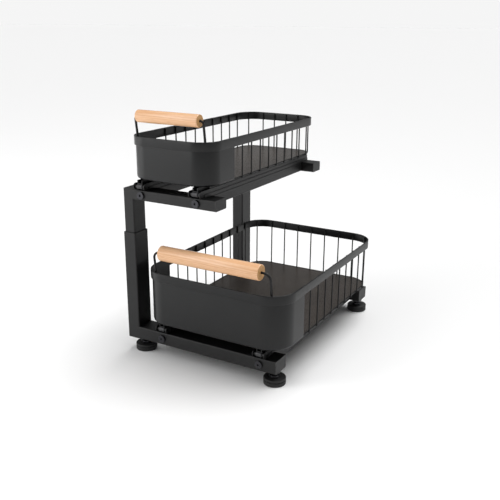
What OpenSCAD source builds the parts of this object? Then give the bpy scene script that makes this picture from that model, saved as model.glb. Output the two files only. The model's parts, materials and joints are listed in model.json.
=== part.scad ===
// Two-tier pull out cabinet basket on telescopic posts.
// Millimetres. Working frame: X from the posts' left face, Y from the frame's front face,
// Z from the underside of the lower beams. seat() moves it so that the origin is on the
// floor, in the middle of the part's outline.

/* [Lower frame] */
// Length of the lower beams past the centre of the right rail
lower_beam_past = 31.2; // [30:0.1:60]
// Depth of the frame from its front face to its rear face
depth = 400; // [396:1:420]
// Height of the lower beams and rails
lower_beam_h = 23; // [20:0.5:28]
// Width of the outer posts, left to right
post_w = 25; // [24:0.5:28]
// Depth of the outer posts and the lower beams, front to back
post_d = 36; // [34:0.5:42]
// Height of the outer posts' top above the underside of the lower beams
post_h = 195.5; // [180:0.5:205]
// Wall of the steel tubes
wall = 1.2; // [1:0.1:1.5]
// Outer corner radius of the steel tubes
corner_r = 2.2; // [1.8:0.1:3]
// Distance of the lower left rail's centre from the lower basket's left side
lower_left_rail_inset = 34.5; // [30:0.5:60]
// Distance of the lower right rail's centre from the lower basket's right side
lower_right_rail_inset = 48.2; // [40:0.1:80]

/* [Upper frame] */
// Length of the upper beams past the centre of the right rail
upper_beam_past = 37.5; // [20:0.5:60]
// Height of the upper beams and rails
upper_beam_h = 18; // [16:0.5:24]
// Height of the upper beams' top above the underside of the lower beams
upper_top = 273.5; // [268:0.5:290]
// Distance of the upper left rail's centre from the upper basket's left side
upper_left_rail_inset = 24.8; // [24:0.1:40]
// Distance of the upper right rail's centre from the upper basket's right side
upper_right_rail_inset = 29.5; // [24:0.5:45]
// Width of the rails on both tiers
rail_w = 22; // [20:0.5:25]

/* [Height adjustment] */
// Length of inner post inside each outer post
insertion = 110; // [100:1:118]
// Free play on each side of a collar or an end plug
post_play = 0.1; // [0.05:0.01:0.15]
// Wall of the collar's sleeve
sleeve_t = 0.6; // [0.4:0.1:0.8]
// Depth of the collar's sleeve
sleeve_h = 25; // [15:1:30]
// Height of the collar's flange
collar_h = 1; // [0.8:0.1:3]
// Height of the part of the end plug below the inner post
end_plug_h = 10; // [6:1:14]
// Height of the lock screws above the underside of the lower beams
lock_z = 145; // [140:1:155]
// Outer diameter of the welded lock bosses
boss_d = 12; // [10:0.5:15]
// Length of the welded lock bosses
boss_len = 5; // [4:0.5:8]

/* [Feet] */
// Height from the floor to the underside of the lower beams
foot_h = 24; // [22:0.5:30]
// Diameter of the foot discs
foot_d = 37.5; // [30:0.5:42]
// Height of the foot discs
pad_h = 12; // [11:0.5:13]
// Height of the soft sole
sole_h = 7; // [4:0.5:8]
// Height of the groove above the sole
groove_h = 1; // [0.6:0.1:1.5]
// Depth of the groove above the sole
groove_depth = 1.5; // [0.5:0.1:3]
// Centre of the left feet from the posts' left face
foot_left_x = 26; // [22:1:34]
// Centre of the right feet from the right end of the lower beams
foot_right_inset = 11; // [11:0.5:30]
// Thread diameter of the foot studs
stud_d = 10; // [8:0.5:11]
// Height of the studs' top above the underside of the lower beams
stud_top = 16; // [14:0.5:17]
// Size across the flats of the studs' hexagons and their nuts
hex_af = 17; // [15:0.5:18]
// Height of the studs' hexagons
stud_hex_h = 4; // [3:0.5:4.5]
// Height of the lock nuts under the beams
lock_nut_h = 5; // [4:0.5:5]
// Height of the nuts welded inside the beams
weld_nut_h = 8; // [6:0.5:9]

/* [Screws] */
// Thread diameter of the rail screws and lock screws
screw_d = 6; // [5:0.5:7]
// Head diameter of the rail screws
rail_head_d = 13.6; // [12:0.2:15]
// Head height of the rail screws
rail_head_h = 3; // [2.6:0.1:3.6]
// Chamfer on the rail screws' heads
rail_head_edge = 0.6; // [0.3:0.1:0.8]
// Head diameter of the lock screws
lock_head_d = 10.5; // [9:0.5:12]
// Head height of the lock screws
lock_head_h = 3.3; // [2.5:0.1:4]
// Size across the flats of the screws' sockets
socket_af = 4; // [3:0.5:5]
// Depth of the screws' sockets
socket_depth = 2; // [1.5:0.1:2.2]
// Depth that a rail screw reaches into its plug
screw_grip = 12; // [8:1:14]
// Length of the threaded plugs in the rails' ends
rail_plug_len = 15; // [15:1:25]
// Shank diameter of the track screws
track_screw_d = 4; // [3:0.5:5]
// Head diameter of the track screws
track_head_d = 7.2; // [6:0.2:8]
// Head height of the track screws
track_head_h = 1.8; // [1.2:0.1:2]
// Distance of the track screws from the frame's front and rear faces
track_screw_inset = 25; // [20:1:28]

/* [Slides] */
// Height of the baskets' underside above the beams
slide_h = 18; // [17.5:0.5:22]
// Pull out travel of each basket
travel = 290; // [220:5:300]
// Sheet thickness of the tracks and the runners
slide_t = 1.2; // [1:0.1:1.3]
// Outer width of the upper part of a track, and of a runner
track_w = 22; // [22:0.5:24]
// How far the foot of a track stands out on each side
track_step = 1; // [0.5:0.1:1]
// Height of the foot of a track
track_step_h = 5.5; // [4:0.5:6]
// Half width of the slot between a track's lips
slot_half = 6; // [6:0.1:6.2]
// Distance of the front roller's axis from the frame's front face
roller_y = 2; // [0:0.5:4]
// Diameter of the front rollers
roller_d = 8.4; // [8:0.1:8.8]
// Width of the front rollers' tread
roller_w = 11; // [8:0.5:11.5]
// Diameter of the front rollers' hubs
hub_d = 5.6; // [5:0.1:7]
// Diameter of the front rollers' pins
roller_pin_d = 4; // [3:0.1:4.2]
// Height of the front rollers' axis above the beams
roller_z = 6.4; // [6.3:0.1:6.6]
// Diameter of the ears' round noses
ear_d = 11.2; // [9:0.1:11.6]
// Diameter of the rear wheels
wheel_d = 9.3; // [8.5:0.1:9.4]
// Width of a rear wheel
wheel_w = 3.2; // [2.4:0.1:3.3]
// Distance of the rear wheels' axis from the frame's rear face
wheel_inset = 15; // [13:0.5:20]
// Diameter of the rear wheels' pins
wheel_pin_d = 3; // [2.5:0.1:3.4]
// Outer width of the runners' trough
trough_w = 10; // [9:0.1:10]
// Gap between the trough and the front roller
trough_gap = 0.2; // [0.1:0.05:0.4]
// Gap above and below the rear wheels
wheel_play = 0.15; // [0.1:0.05:0.3]
// Radial clearance of rollers, wheels and grips on their pins
pin_play = 0.05; // [0.03:0.01:0.08]

/* [Lower basket] */
// Left side of the lower basket from the posts' left face
lower_basket_x = 40.5; // [38:0.5:44]
// Width of the lower basket
lower_basket_w = 276.5; // [262:0.5:300]
// Front of the lower basket from the frame's front face
lower_basket_y = -10.5; // [-14:0.5:-5]
// Height of the lower basket
lower_basket_h = 95; // [60:1:120]
// Outer radius of the lower basket's corners
lower_rim_r = 45.3; // [43:0.1:45.8]
// Distance of the first side wire from the lower basket's front
lower_first_wire = 106; // [96:0.5:106.5]
// Pitch of the wires in the back of the lower basket
lower_back_pitch = 30.9; // [12:0.1:60]

/* [Upper basket] */
// Left side of the upper basket from the posts' left face
upper_basket_x = 15; // [12:0.5:17]
// Width of the upper basket
upper_basket_w = 164.5; // [162:0.5:200]
// Front of the upper basket from the frame's front face
upper_basket_y = -3.5; // [-8:0.5:0]
// Height of the upper basket
upper_basket_h = 72; // [50:1:110]
// Outer radius of the upper basket's corners
upper_rim_r = 38.5; // [36:0.1:42]
// Distance of the first side wire from the upper basket's front
upper_first_wire = 108.5; // [96:0.5:112]
// Pitch of the wires in the back of the upper basket
upper_back_pitch = 26.3; // [10:0.1:40]

/* [Both baskets] */
// Length of the baskets, front to back
basket_len = 400; // [400:1:406]
// Height of the rim strip
rim_h = 15; // [10:0.5:25]
// Thickness of the rim strip
rim_t = 2.5; // [2:0.1:3]
// Thickness of the front panel and the floor
sheet_t = 1.2; // [1:0.1:1.5]
// Length that the front panel reaches back along each side
panel_len = 81; // [60:1:90]
// Width of the flange under the floor at the foot of the front panel
flange_w = 2.5; // [1.5:0.1:2.5]
// Diameter of the rod round the foot of the basket
rod_d = 3; // [2.5:0.1:3.5]
// Diameter of the upright wires
wire_d = 2.5; // [2:0.1:3]
// Pitch of the wires along each side
side_pitch = 31; // [12:0.5:60]

/* [Handles] */
// Diameter of the handle wires
handle_wire_d = 4; // [3:0.1:4.5]
// Length of handle wire below the top of the rim
handle_leg = 35; // [20:1:45]
// Forward lean of the handles above the rim, in degrees
handle_lean = 7.5; // [4:0.5:12]
// Width between the legs of the lower handle
lower_handle_w = 223.2; // [214:0.2:228]
// Radius of the lower handle's bends
lower_bend_r = 12; // [8:0.5:15]
// Length of the lower grip
lower_grip_len = 191; // [150:1:194]
// Diameter of the lower grip
lower_grip_d = 26; // [18:0.5:28]
// Height of the lower grip's axis above the rim
lower_grip_rise = 36.7; // [30:0.1:45]
// Width between the legs of the upper handle
upper_handle_w = 132.2; // [132.2:0.2:138]
// Radius of the upper handle's bends
upper_bend_r = 5.8; // [4:0.1:5.8]
// Length of the upper grip
upper_grip_len = 120; // [80:1:120]
// Diameter of the upper grip
upper_grip_d = 20.5; // [16:0.5:24]
// Height of the upper grip's axis above the rim
upper_grip_rise = 32.5; // [28:0.5:45]
// Radius of the grips' rounded ends
grip_edge_r = 1.6; // [0.8:0.1:2.5]

/* [Hidden] */
$fn = 48;

powder_black = [0.23, 0.23, 0.24];
plastic_black = [0.12, 0.12, 0.13];
zinc_black = [0.3, 0.3, 0.31];
panel_charcoal = [0.19, 0.19, 0.2];
floor_grey = [0.33, 0.31, 0.29];
wire_black = [0.13, 0.13, 0.13];
roller_grey = [0.42, 0.42, 0.43];
beech = [0.88, 0.72, 0.52];

// Inner posts: what is left inside the outer posts after the wall, the sleeve and its play
post_inset = wall + sleeve_t + 2 * post_play;
inner_w = post_w - 2 * post_inset;
inner_d = post_d - 2 * post_inset;
inner_bottom = post_h - insertion;
post_cy = post_d / 2;

// Beams end in caps of this thickness, flush with their outline
cap_t = 2;
cap_tongue = 8;
cap_tongue_t = 1.5;

// Rails stand under the baskets, and the beams reach past the right rails
lower_left_rail_x = lower_basket_x + lower_left_rail_inset;
lower_right_rail_x = lower_basket_x + lower_basket_w - lower_right_rail_inset;
upper_left_rail_x = upper_basket_x + upper_left_rail_inset;
upper_right_rail_x = upper_basket_x + upper_basket_w - upper_right_rail_inset;
lower_rails = [lower_left_rail_x, lower_right_rail_x];
upper_rails = [upper_left_rail_x, upper_right_rail_x];
lower_len = lower_right_rail_x + lower_beam_past;
upper_len = upper_right_rail_x + upper_beam_past;

// Screw fits
thread_play = 0.05;
hole_play = 0.3;
press_play = 0.02;
lock_tip_gap = 0.1;
foot_right_x = lower_len - foot_right_inset;
// Radius of a lock screw's dome, and how far the socket's mouth stands off the screw's seat
dome_r = (pow(lock_head_d / 2, 2) + pow(lock_head_h, 2)) / (2 * lock_head_h);
lock_reach = lock_head_h - dome_r + sqrt(pow(dome_r, 2) - pow(socket_af / 2, 2));
track_screw_reach = 2.5;

// Slide heights above the beams
roller_top = roller_z + roller_d / 2;
trough_z = roller_top + trough_gap;
wheel_z = slide_t + wheel_play + wheel_d / 2;
lip_z = wheel_z + wheel_d / 2 + wheel_play;
track_h = lip_z + slide_t;
track_half = track_w / 2;
floor_z = slide_h + sheet_t;
skirt_gap = 0.9;
skirt_z = track_h + skirt_gap;
tongue_top = slide_h - 0.5;
channel_half = track_half - slide_t;
pin_hole_past = 2;
side_gap = 0.3;

// Slide places along the frame
channel_start = 10;
stop_gap = 1.35;
wheel_y = depth - wheel_inset;
track_end = wheel_y + wheel_d / 2 + stop_gap + slide_t;
lug_y = wheel_y - travel - wheel_d / 2 - stop_gap - slide_t;
lug_h = wheel_z;
tongue_lead = 1.5;
tongue_front = roller_y - tongue_lead;
bracket_gap = 0.6;
bracket_half = trough_w / 2 + bracket_gap;
bracket_nose_wall = 1.1;
bracket_nose_r = wheel_pin_d / 2 + bracket_nose_wall;
bracket_lap = 3;
wheel_in = slot_half + 0.1;
wheel_out = wheel_in + wheel_w;
wheel_pin_half = wheel_out + 0.2;
hub_half = channel_half - 0.2;

// Runners keep clear of the flange and the rod where these follow the basket's corners
runner_front_inset = 30;
runner_rear_inset = 26;

// Basket places
lower_zb = lower_beam_h + slide_h;
upper_zb = upper_top + slide_h;
rod_inset = rim_t + wire_d + rod_d / 2;
floor_inset = rod_inset + rod_d / 2;
bend_r = floor_inset - rim_t;
wire_inset = rim_t + wire_d / 2;
wire_top_gap = 1;

// Number of wires at a pitch that stand on a straight run of the rim
function wires_in(run, pitch) = floor(run / pitch) + 1;

// Distance of a handle's legs from its basket's front: they are welded to the inside of the
// panel where it turns round the corner of radius r
function leg_y(w, r, leg_w) =
    let (k = rim_t + sheet_t + handle_wire_d / 2, e = (w - leg_w) / 2)
    e < r ? r - sqrt(pow(r - k, 2) - pow(r - e, 2)) : k;
lower_leg_y = leg_y(lower_basket_w, lower_rim_r, lower_handle_w);
upper_leg_y = leg_y(upper_basket_w, upper_rim_r, upper_handle_w);

// Above the rim the legs turn forward at a knee and run straight up to the grip
knee_gap = 1;
knee_d = handle_wire_d + 0.1;
function leg_len(rise) = (rise - knee_gap) / cos(handle_lean);
function lean_shift(rise) = (rise - knee_gap) * tan(handle_lean);
lower_grip_y = lower_leg_y - lean_shift(lower_grip_rise);
upper_grip_y = upper_leg_y - lean_shift(upper_grip_rise);

// Outline of the whole part, for the origin
part_left = -boss_len - lock_reach;
part_right = max(lower_basket_x + lower_basket_w, foot_right_x + foot_d / 2);
part_front = min(lower_basket_y, lower_basket_y + lower_grip_y - lower_grip_d / 2,
                 upper_basket_y, upper_basket_y + upper_grip_y - upper_grip_d / 2);
part_rear = max(depth + rail_head_h, max(lower_basket_y, upper_basket_y) + basket_len);

// ---------------------------------------------------------------- helpers

// From the working frame to the part's own frame
module seat() {
    translate([-(part_left + part_right) / 2, -(part_front + part_rear) / 2, foot_h]) children();
}

// Mirrors a front piece to the rear of the frame
module at_rear() translate([0, depth, 0]) mirror([0, 1, 0]) children();

module front_and_rear() {
    children();
    at_rear() children();
}

// Rectangle with round corners between two corner points
module round_rect(a, b, r) {
    translate([a.x + r, a.y]) square([b.x - a.x - 2 * r, b.y - a.y]);
    translate([a.x, a.y + r]) square([b.x - a.x, b.y - a.y - 2 * r]);
    for (x = [a.x + r, b.x - r], y = [a.y + r, b.y - r]) translate([x, y]) circle(r = r);
}

// Extrusions of a flat outline along each axis
module along_x(x0, x1) {
    translate([x0, 0, 0]) rotate([90, 0, 90]) linear_extrude(x1 - x0) children();
}
module along_y(y0, y1) {
    translate([0, y1, 0]) rotate([90, 0, 0]) linear_extrude(y1 - y0) children();
}
module along_z(z0, z1) translate([0, 0, z0]) linear_extrude(z1 - z0) children();

// Round bars along each axis
module bar_x(x0, x1, d) translate([x0, 0, 0]) rotate([0, 90, 0]) cylinder(d = d, h = x1 - x0);
module bar_y(y0, y1, d) translate([0, y0, 0]) rotate([-90, 0, 0]) cylinder(d = d, h = y1 - y0);
module bar_z(z0, z1, d) translate([0, 0, z0]) cylinder(d = d, h = z1 - z0);

// Hexagon across the flats, with two flats square to X
module hexagon(af) rotate([0, 0, 30]) circle(d = af / cos(30), $fn = 6);

// Socket in a screw's head whose seat is at z = 0
module socket(head_h) along_z(-head_h - 1, socket_depth - head_h) hexagon(socket_af);

// Button head screw along +Z: the head's seat at z = 0 and the shank above it
module button_screw(len) {
    difference() {
        union() {
            intersection() {
                translate([0, 0, dome_r - lock_head_h]) sphere(r = dome_r);
                bar_z(-lock_head_h, 0, lock_head_d);
            }
            cylinder(d = screw_d, h = len);
        }
        socket(lock_head_h);
    }
}

// Flat head screw along +Z: the head's seat at z = 0 and the shank above it
module flat_screw(len) {
    face_d = rail_head_d - 2 * rail_head_edge;
    difference() {
        union() {
            bar_z(rail_head_edge - rail_head_h, 0, rail_head_d);
            translate([0, 0, -rail_head_h]) cylinder(d1 = face_d, d2 = rail_head_d, h = rail_head_edge);
            cylinder(d = screw_d, h = len);
        }
        socket(rail_head_h);
    }
}

// ---------------------------------------------------------------- posts and beams

// Front frame of a tier: a post and a beam as one welded tube.
// a and b are the post's corner points in plan, z0 and z1 its ends,
// beam_z0 and beam_z1 the beam's underside and top, x1 the beam's right end.
module frame_tube(a, b, z0, z1, beam_z0, beam_z1, x1) {
    inner_r = corner_r - wall;
    w = [wall, wall];
    // The tube's wall closes the post where the beam meets it, and its other end is open
    floor_in = beam_z0 == z0 ? z0 + wall : z0 - 1;
    roof_in = beam_z1 == z1 ? z1 - wall : z1 + 1;
    difference() {
        union() {
            along_z(z0, z1) round_rect(a, b, corner_r);
            along_x((a.x + b.x) / 2, x1) {
                round_rect([a.y, beam_z0], [b.y, beam_z1], corner_r);
            }
        }
        along_z(floor_in, roof_in) round_rect(a + w, b - w, inner_r);
        along_x(a.x + wall, x1 + 1) {
            round_rect([a.y, beam_z0] + w, [b.y, beam_z1] - w, inner_r);
        }
    }
}

// Holes through a beam for the rail screws
module rail_screw_holes(rails, y0, y1, z) {
    for (x = rails) translate([x, 0, z]) bar_y(y0 - 1, y1 + 1, screw_d + 2 * hole_play);
}

module track_screw_holes(rails, z) {
    for (x = rails) translate([x, track_screw_inset, 0]) {
        bar_z(z - 2 * wall, z + 1, track_screw_d + 2 * press_play);
    }
}

module lower_frame_solid() {
    difference() {
        frame_tube([0, 0], [post_w, post_d], 0, post_h, 0, lower_beam_h, lower_len - cap_t);
        rail_screw_holes(lower_rails, 0, post_d, lower_beam_h / 2);
        track_screw_holes(lower_rails, lower_beam_h);
        for (x = [foot_left_x, foot_right_x]) {
            translate([x, post_cy, 0]) bar_z(-1, wall + 0.5, stud_d + 1);
        }
        translate([0, post_cy, lock_z]) bar_x(-1, wall + 0.5, screw_d + 2 * thread_play);
    }
}

module upper_frame_solid() {
    i = post_inset;
    difference() {
        frame_tube([i, i], [post_w - i, post_d - i], inner_bottom, upper_top,
                   upper_top - upper_beam_h, upper_top, upper_len - cap_t);
        rail_screw_holes(upper_rails, i, post_d - i, upper_top - upper_beam_h / 2);
        track_screw_holes(upper_rails, upper_top);
    }
}

// Side rail between the front and the rear beam. y0 is the front beam's inner face.
module rail(x, y0, z0, h) {
    a = [x - rail_w / 2, z0];
    b = [x + rail_w / 2, z0 + h];
    w = [wall, wall];
    along_y(y0, depth - y0) difference() {
        round_rect(a, b, corner_r);
        round_rect(a + w, b - w, corner_r - wall);
    }
}

// Threaded plugs in both ends of a rail
module rail_plugs(x, y0, z0, h) {
    p = wall + post_play;
    front_and_rear() difference() {
        along_y(y0, y0 + rail_plug_len) {
            round_rect([x - rail_w / 2 + p, z0 + p], [x + rail_w / 2 - p, z0 + h - p], corner_r - wall);
        }
        translate([x, 0, z0 + h / 2]) bar_y(y0 - 1, y0 + rail_plug_len + 1, screw_d + 2 * thread_play);
    }
}

// Screws through a beam whose outer face is at y and inner face at y0
module rail_screws(x, y, y0, z) {
    front_and_rear() translate([x, y, z]) rotate([-90, 0, 0]) {
        flat_screw(y0 - y + screw_grip);
    }
}

// Cap on a beam's right end: a plate flush with the tube and two tongues inside it
module beam_cap(x1, y0, y1, z0, z1) {
    p = wall + post_play;
    along_x(x1 - cap_t, x1) round_rect([y0, z0], [y1, z1], corner_r);
    for (y = [y0 + p, y1 - p - cap_tongue_t]) {
        along_x(x1 - cap_t - cap_tongue, x1 - cap_t) {
            translate([y, z0 + p + corner_r]) square([cap_tongue_t, z1 - z0 - 2 * (p + corner_r)]);
        }
    }
}

module lower_front_frame() color(powder_black) seat() lower_frame_solid();
module lower_rear_frame() color(powder_black) seat() at_rear() lower_frame_solid();
module lower_left_rail() color(powder_black) seat() rail(lower_left_rail_x, post_d, 0, lower_beam_h);
module lower_right_rail() color(powder_black) seat() rail(lower_right_rail_x, post_d, 0, lower_beam_h);

module lower_rail_screws() {
    color(zinc_black) seat() for (x = lower_rails) rail_screws(x, 0, post_d, lower_beam_h / 2);
}

module lower_rail_plugs() {
    color(plastic_black) seat() for (x = lower_rails) rail_plugs(x, post_d, 0, lower_beam_h);
}

module lower_beam_caps() {
    color(powder_black) seat() front_and_rear() beam_cap(lower_len, 0, post_d, 0, lower_beam_h);
}

upper_z0 = upper_top - upper_beam_h;
upper_y0 = post_d - post_inset;

module upper_front_frame() color(powder_black) seat() upper_frame_solid();
module upper_rear_frame() color(powder_black) seat() at_rear() upper_frame_solid();

module upper_left_rail() {
    color(powder_black) seat() rail(upper_left_rail_x, upper_y0, upper_z0, upper_beam_h);
}

module upper_right_rail() {
    color(powder_black) seat() rail(upper_right_rail_x, upper_y0, upper_z0, upper_beam_h);
}

module upper_rail_screws() {
    z = upper_top - upper_beam_h / 2;
    color(zinc_black) seat() for (x = upper_rails) rail_screws(x, post_inset, upper_y0, z);
}

module upper_rail_plugs() {
    color(plastic_black) seat() for (x = upper_rails) rail_plugs(x, upper_y0, upper_z0, upper_beam_h);
}

module upper_beam_caps() {
    color(powder_black) seat() front_and_rear() {
        beam_cap(upper_len, post_inset, upper_y0, upper_z0, upper_top);
    }
}

// ---------------------------------------------------------------- height adjustment

// Outline of the outer post shrunk by d on every side
module post_outline(d) round_rect([d, d], [post_w - d, post_d - d], max(corner_r - d, 0.3));

// Plastic collars: a flange on the outer post's top and a sleeve between the posts
module post_collars() {
    color(plastic_black) seat() front_and_rear() difference() {
        union() {
            along_z(post_h, post_h + collar_h) post_outline(0);
            along_z(post_h - sleeve_h, post_h) post_outline(wall + post_play);
        }
        along_z(post_h - sleeve_h - 1, post_h + collar_h + 1) post_outline(post_inset - post_play);
    }
}

// Plastic plugs on the inner posts' lower ends, sliding in the outer posts
module post_end_plugs() {
    stem = post_inset + wall + post_play;
    color(plastic_black) seat() front_and_rear() {
        along_z(inner_bottom - end_plug_h, inner_bottom) post_outline(wall + post_play);
        along_z(inner_bottom, inner_bottom + end_plug_h) post_outline(stem);
    }
}

// Threaded bosses welded to the outer posts' left faces
module height_lock_bosses() {
    color(powder_black) seat() front_and_rear() translate([0, post_cy, lock_z]) difference() {
        bar_x(-boss_len, 0, boss_d);
        bar_x(-boss_len - 1, 1, screw_d + 2 * thread_play);
    }
}

// Screws that clamp the inner posts
module height_lock_screws() {
    color(zinc_black) seat() front_and_rear() {
        translate([-boss_len, post_cy, lock_z]) rotate([0, 90, 0]) {
            button_screw(boss_len + post_inset - lock_tip_gap);
        }
    }
}

// ---------------------------------------------------------------- feet

module foot_pad() {
    edge = 1;
    r = foot_d / 2;
    translate([0, 0, -foot_h]) difference() {
        union() {
            cylinder(r1 = r - edge, r2 = r, h = edge);
            bar_z(edge, sole_h, foot_d);
            bar_z(sole_h, sole_h + groove_h, foot_d - 2 * groove_depth);
            bar_z(sole_h + groove_h, pad_h - edge, foot_d);
            translate([0, 0, pad_h - edge]) cylinder(r1 = r, r2 = r - edge, h = edge);
        }
        bar_z(pad_seat, pad_h + 1, stud_d + 2 * press_play);
    }
}

// Depth of floor left in the pad under the stud
pad_seat = 4;

module foot_stud() {
    bar_z(pad_seat - foot_h, stud_top, stud_d);
    along_z(pad_h - foot_h, pad_h + stud_hex_h - foot_h) hexagon(hex_af);
}

module foot_front_left_pad() color(plastic_black) seat() translate([foot_left_x, post_cy, 0]) foot_pad();
module foot_front_right_pad() color(plastic_black) seat() translate([foot_right_x, post_cy, 0]) foot_pad();
module foot_rear_left_pad() {
    color(plastic_black) seat() at_rear() translate([foot_left_x, post_cy, 0]) foot_pad();
}
module foot_rear_right_pad() {
    color(plastic_black) seat() at_rear() translate([foot_right_x, post_cy, 0]) foot_pad();
}

module foot_front_left_stud() color(zinc_black) seat() translate([foot_left_x, post_cy, 0]) foot_stud();
module foot_front_right_stud() color(zinc_black) seat() translate([foot_right_x, post_cy, 0]) foot_stud();
module foot_rear_left_stud() {
    color(zinc_black) seat() at_rear() translate([foot_left_x, post_cy, 0]) foot_stud();
}
module foot_rear_right_stud() {
    color(zinc_black) seat() at_rear() translate([foot_right_x, post_cy, 0]) foot_stud();
}

// Lock nuts under the beams and weld nuts inside them
module foot_nuts() {
    color(zinc_black) seat() front_and_rear() for (x = [foot_left_x, foot_right_x]) {
        translate([x, post_cy, 0]) for (z = [[-lock_nut_h, 0], [wall, wall + weld_nut_h]]) {
            difference() {
                along_z(z[0], z[1]) hexagon(hex_af);
                bar_z(z[0] - 1, z[1] + 1, stud_d + 2 * thread_play);
            }
        }
    }
}

// ---------------------------------------------------------------- slides

// Moves a slide piece from its rail's centre and the beam's top into the frame
module on_rail(x, z) translate([x, 0, z]) children();

module left_and_right() {
    children();
    mirror([1, 0, 0]) children();
}

// Cross section of a track: a stepped channel with lips turned in at the top
module track_section() {
    foot_half = track_half + track_step;
    left_and_right() {
        square([foot_half, slide_t]);
        translate([foot_half - slide_t, 0]) square([slide_t, track_step_h]);
        translate([channel_half, track_step_h - slide_t]) square([foot_half - channel_half, slide_t]);
        translate([channel_half, track_step_h - slide_t]) square([slide_t, track_h + slide_t - track_step_h]);
        translate([slot_half, lip_z]) square([track_half - slot_half, slide_t]);
    }
}

// Fixed track: the channel, its stops and the two ears that hold the front roller
module track() {
    difference() {
        union() {
            along_y(channel_start, track_end) track_section();
            left_and_right() {
                along_x(channel_half, track_half) {
                    translate([roller_y, roller_z]) circle(d = ear_d);
                    translate([roller_y, roller_z - ear_d / 2]) square([channel_start + 1 - roller_y, ear_d]);
                }
                along_x(wheel_in, wheel_out) {
                    translate([lug_y, slide_t / 2]) square([slide_t, lug_h]);
                    translate([track_end - slide_t, slide_t / 2]) square([slide_t, lug_h]);
                }
            }
        }
        translate([0, roller_y, roller_z]) {
            bar_x(-track_half - pin_hole_past, track_half + pin_hole_past, roller_pin_d + 2 * press_play);
        }
        for (y = [track_screw_inset, depth - track_screw_inset]) {
            translate([0, y, 0]) bar_z(-1, slide_t + 1, track_screw_d + 2 * press_play);
        }
    }
}

// Pan head screws that hold a track on the beams
module track_screws() {
    for (y = [track_screw_inset, depth - track_screw_inset]) translate([0, y, 0]) {
        bar_z(slide_t, slide_t + track_head_h, track_head_d);
        bar_z(-track_screw_reach, slide_t, track_screw_d);
    }
}

module roller_pin() {
    translate([0, roller_y, roller_z]) bar_x(-track_half, track_half, roller_pin_d);
}

module front_roller() {
    translate([0, roller_y, roller_z]) difference() {
        union() {
            bar_x(-roller_w / 2, roller_w / 2, roller_d);
            bar_x(-hub_half, hub_half, hub_d);
        }
        bar_x(-hub_half - 1, hub_half + 1, roller_pin_d + 2 * pin_play);
    }
}

// Moving runner: a trough that rolls on the front roller, with a flat and a skirt on each
// side under the floor, and a bracket for the rear wheels
module runner(front, rear) {
    trough_half = trough_w / 2;
    difference() {
        union() {
            along_y(front + runner_front_inset, rear - runner_rear_inset) left_and_right() {
                translate([trough_half - slide_t, trough_z]) square([slide_t, floor_z - trough_z]);
                translate([trough_half - slide_t, floor_z - slide_t]) {
                    square([track_half + slide_t - trough_half, slide_t]);
                }
                translate([channel_half, skirt_z]) square([slide_t, floor_z - skirt_z]);
                square_from([0, trough_z], [trough_half, trough_z + slide_t]);
            }
            along_y(tongue_front, wheel_y + bracket_nose_r) left_and_right() {
                square_from([trough_half - slide_t, trough_z], [trough_half, tongue_top]);
                square_from([0, trough_z], [trough_half, trough_z + slide_t]);
            }
            left_and_right() along_x(bracket_half - slide_t, bracket_half) {
                translate([wheel_y, wheel_z]) circle(r = bracket_nose_r);
                translate([wheel_y - bracket_nose_r, wheel_z]) {
                    square([2 * bracket_nose_r, trough_z + bracket_lap - wheel_z]);
                }
            }
        }
        translate([0, wheel_y, wheel_z]) bar_x(-track_half, track_half, wheel_pin_d + 2 * press_play);
    }
}

// Rectangle between two corner points
module square_from(a, b) translate(a) square(b - a);

module wheel_pin() {
    translate([0, wheel_y, wheel_z]) bar_x(-wheel_pin_half, wheel_pin_half, wheel_pin_d);
}

module rear_wheels() {
    translate([0, wheel_y, wheel_z]) left_and_right() difference() {
        bar_x(wheel_in, wheel_out, wheel_d);
        bar_x(wheel_in - 1, wheel_out + 1, wheel_pin_d + 2 * pin_play);
    }
}

module lower_left_track() color(powder_black) seat() on_rail(lower_left_rail_x, lower_beam_h) track();
module lower_right_track() color(powder_black) seat() on_rail(lower_right_rail_x, lower_beam_h) track();
module upper_left_track() color(powder_black) seat() on_rail(upper_left_rail_x, upper_top) track();
module upper_right_track() color(powder_black) seat() on_rail(upper_right_rail_x, upper_top) track();

module lower_roller_pins() {
    color(zinc_black) seat() for (x = lower_rails) on_rail(x, lower_beam_h) roller_pin();
}
module upper_roller_pins() {
    color(zinc_black) seat() for (x = upper_rails) on_rail(x, upper_top) roller_pin();
}
module lower_track_screws() {
    color(zinc_black) seat() for (x = lower_rails) on_rail(x, lower_beam_h) track_screws();
}
module upper_track_screws() {
    color(zinc_black) seat() for (x = upper_rails) on_rail(x, upper_top) track_screws();
}
module lower_front_rollers() {
    color(roller_grey) seat() for (x = lower_rails) on_rail(x, lower_beam_h) front_roller();
}
module upper_front_rollers() {
    color(roller_grey) seat() for (x = upper_rails) on_rail(x, upper_top) front_roller();
}
module lower_rear_wheels() {
    color(roller_grey) seat() for (x = lower_rails) on_rail(x, lower_beam_h) rear_wheels();
}
module upper_rear_wheels() {
    color(roller_grey) seat() for (x = upper_rails) on_rail(x, upper_top) rear_wheels();
}
module lower_wheel_pins() {
    color(zinc_black) seat() for (x = lower_rails) on_rail(x, lower_beam_h) wheel_pin();
}
module upper_wheel_pins() {
    color(zinc_black) seat() for (x = upper_rails) on_rail(x, upper_top) wheel_pin();
}

module lower_runner(x) {
    color(powder_black) seat() on_rail(x, lower_beam_h) {
        runner(lower_basket_y, lower_basket_y + basket_len);
    }
}
module upper_runner(x) {
    color(powder_black) seat() on_rail(x, upper_top) runner(upper_basket_y, upper_basket_y + basket_len);
}
module lower_left_runner() lower_runner(lower_left_rail_x);
module lower_right_runner() lower_runner(lower_right_rail_x);
module upper_left_runner() upper_runner(upper_left_rail_x);
module upper_right_runner() upper_runner(upper_right_rail_x);

// ---------------------------------------------------------------- baskets

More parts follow.
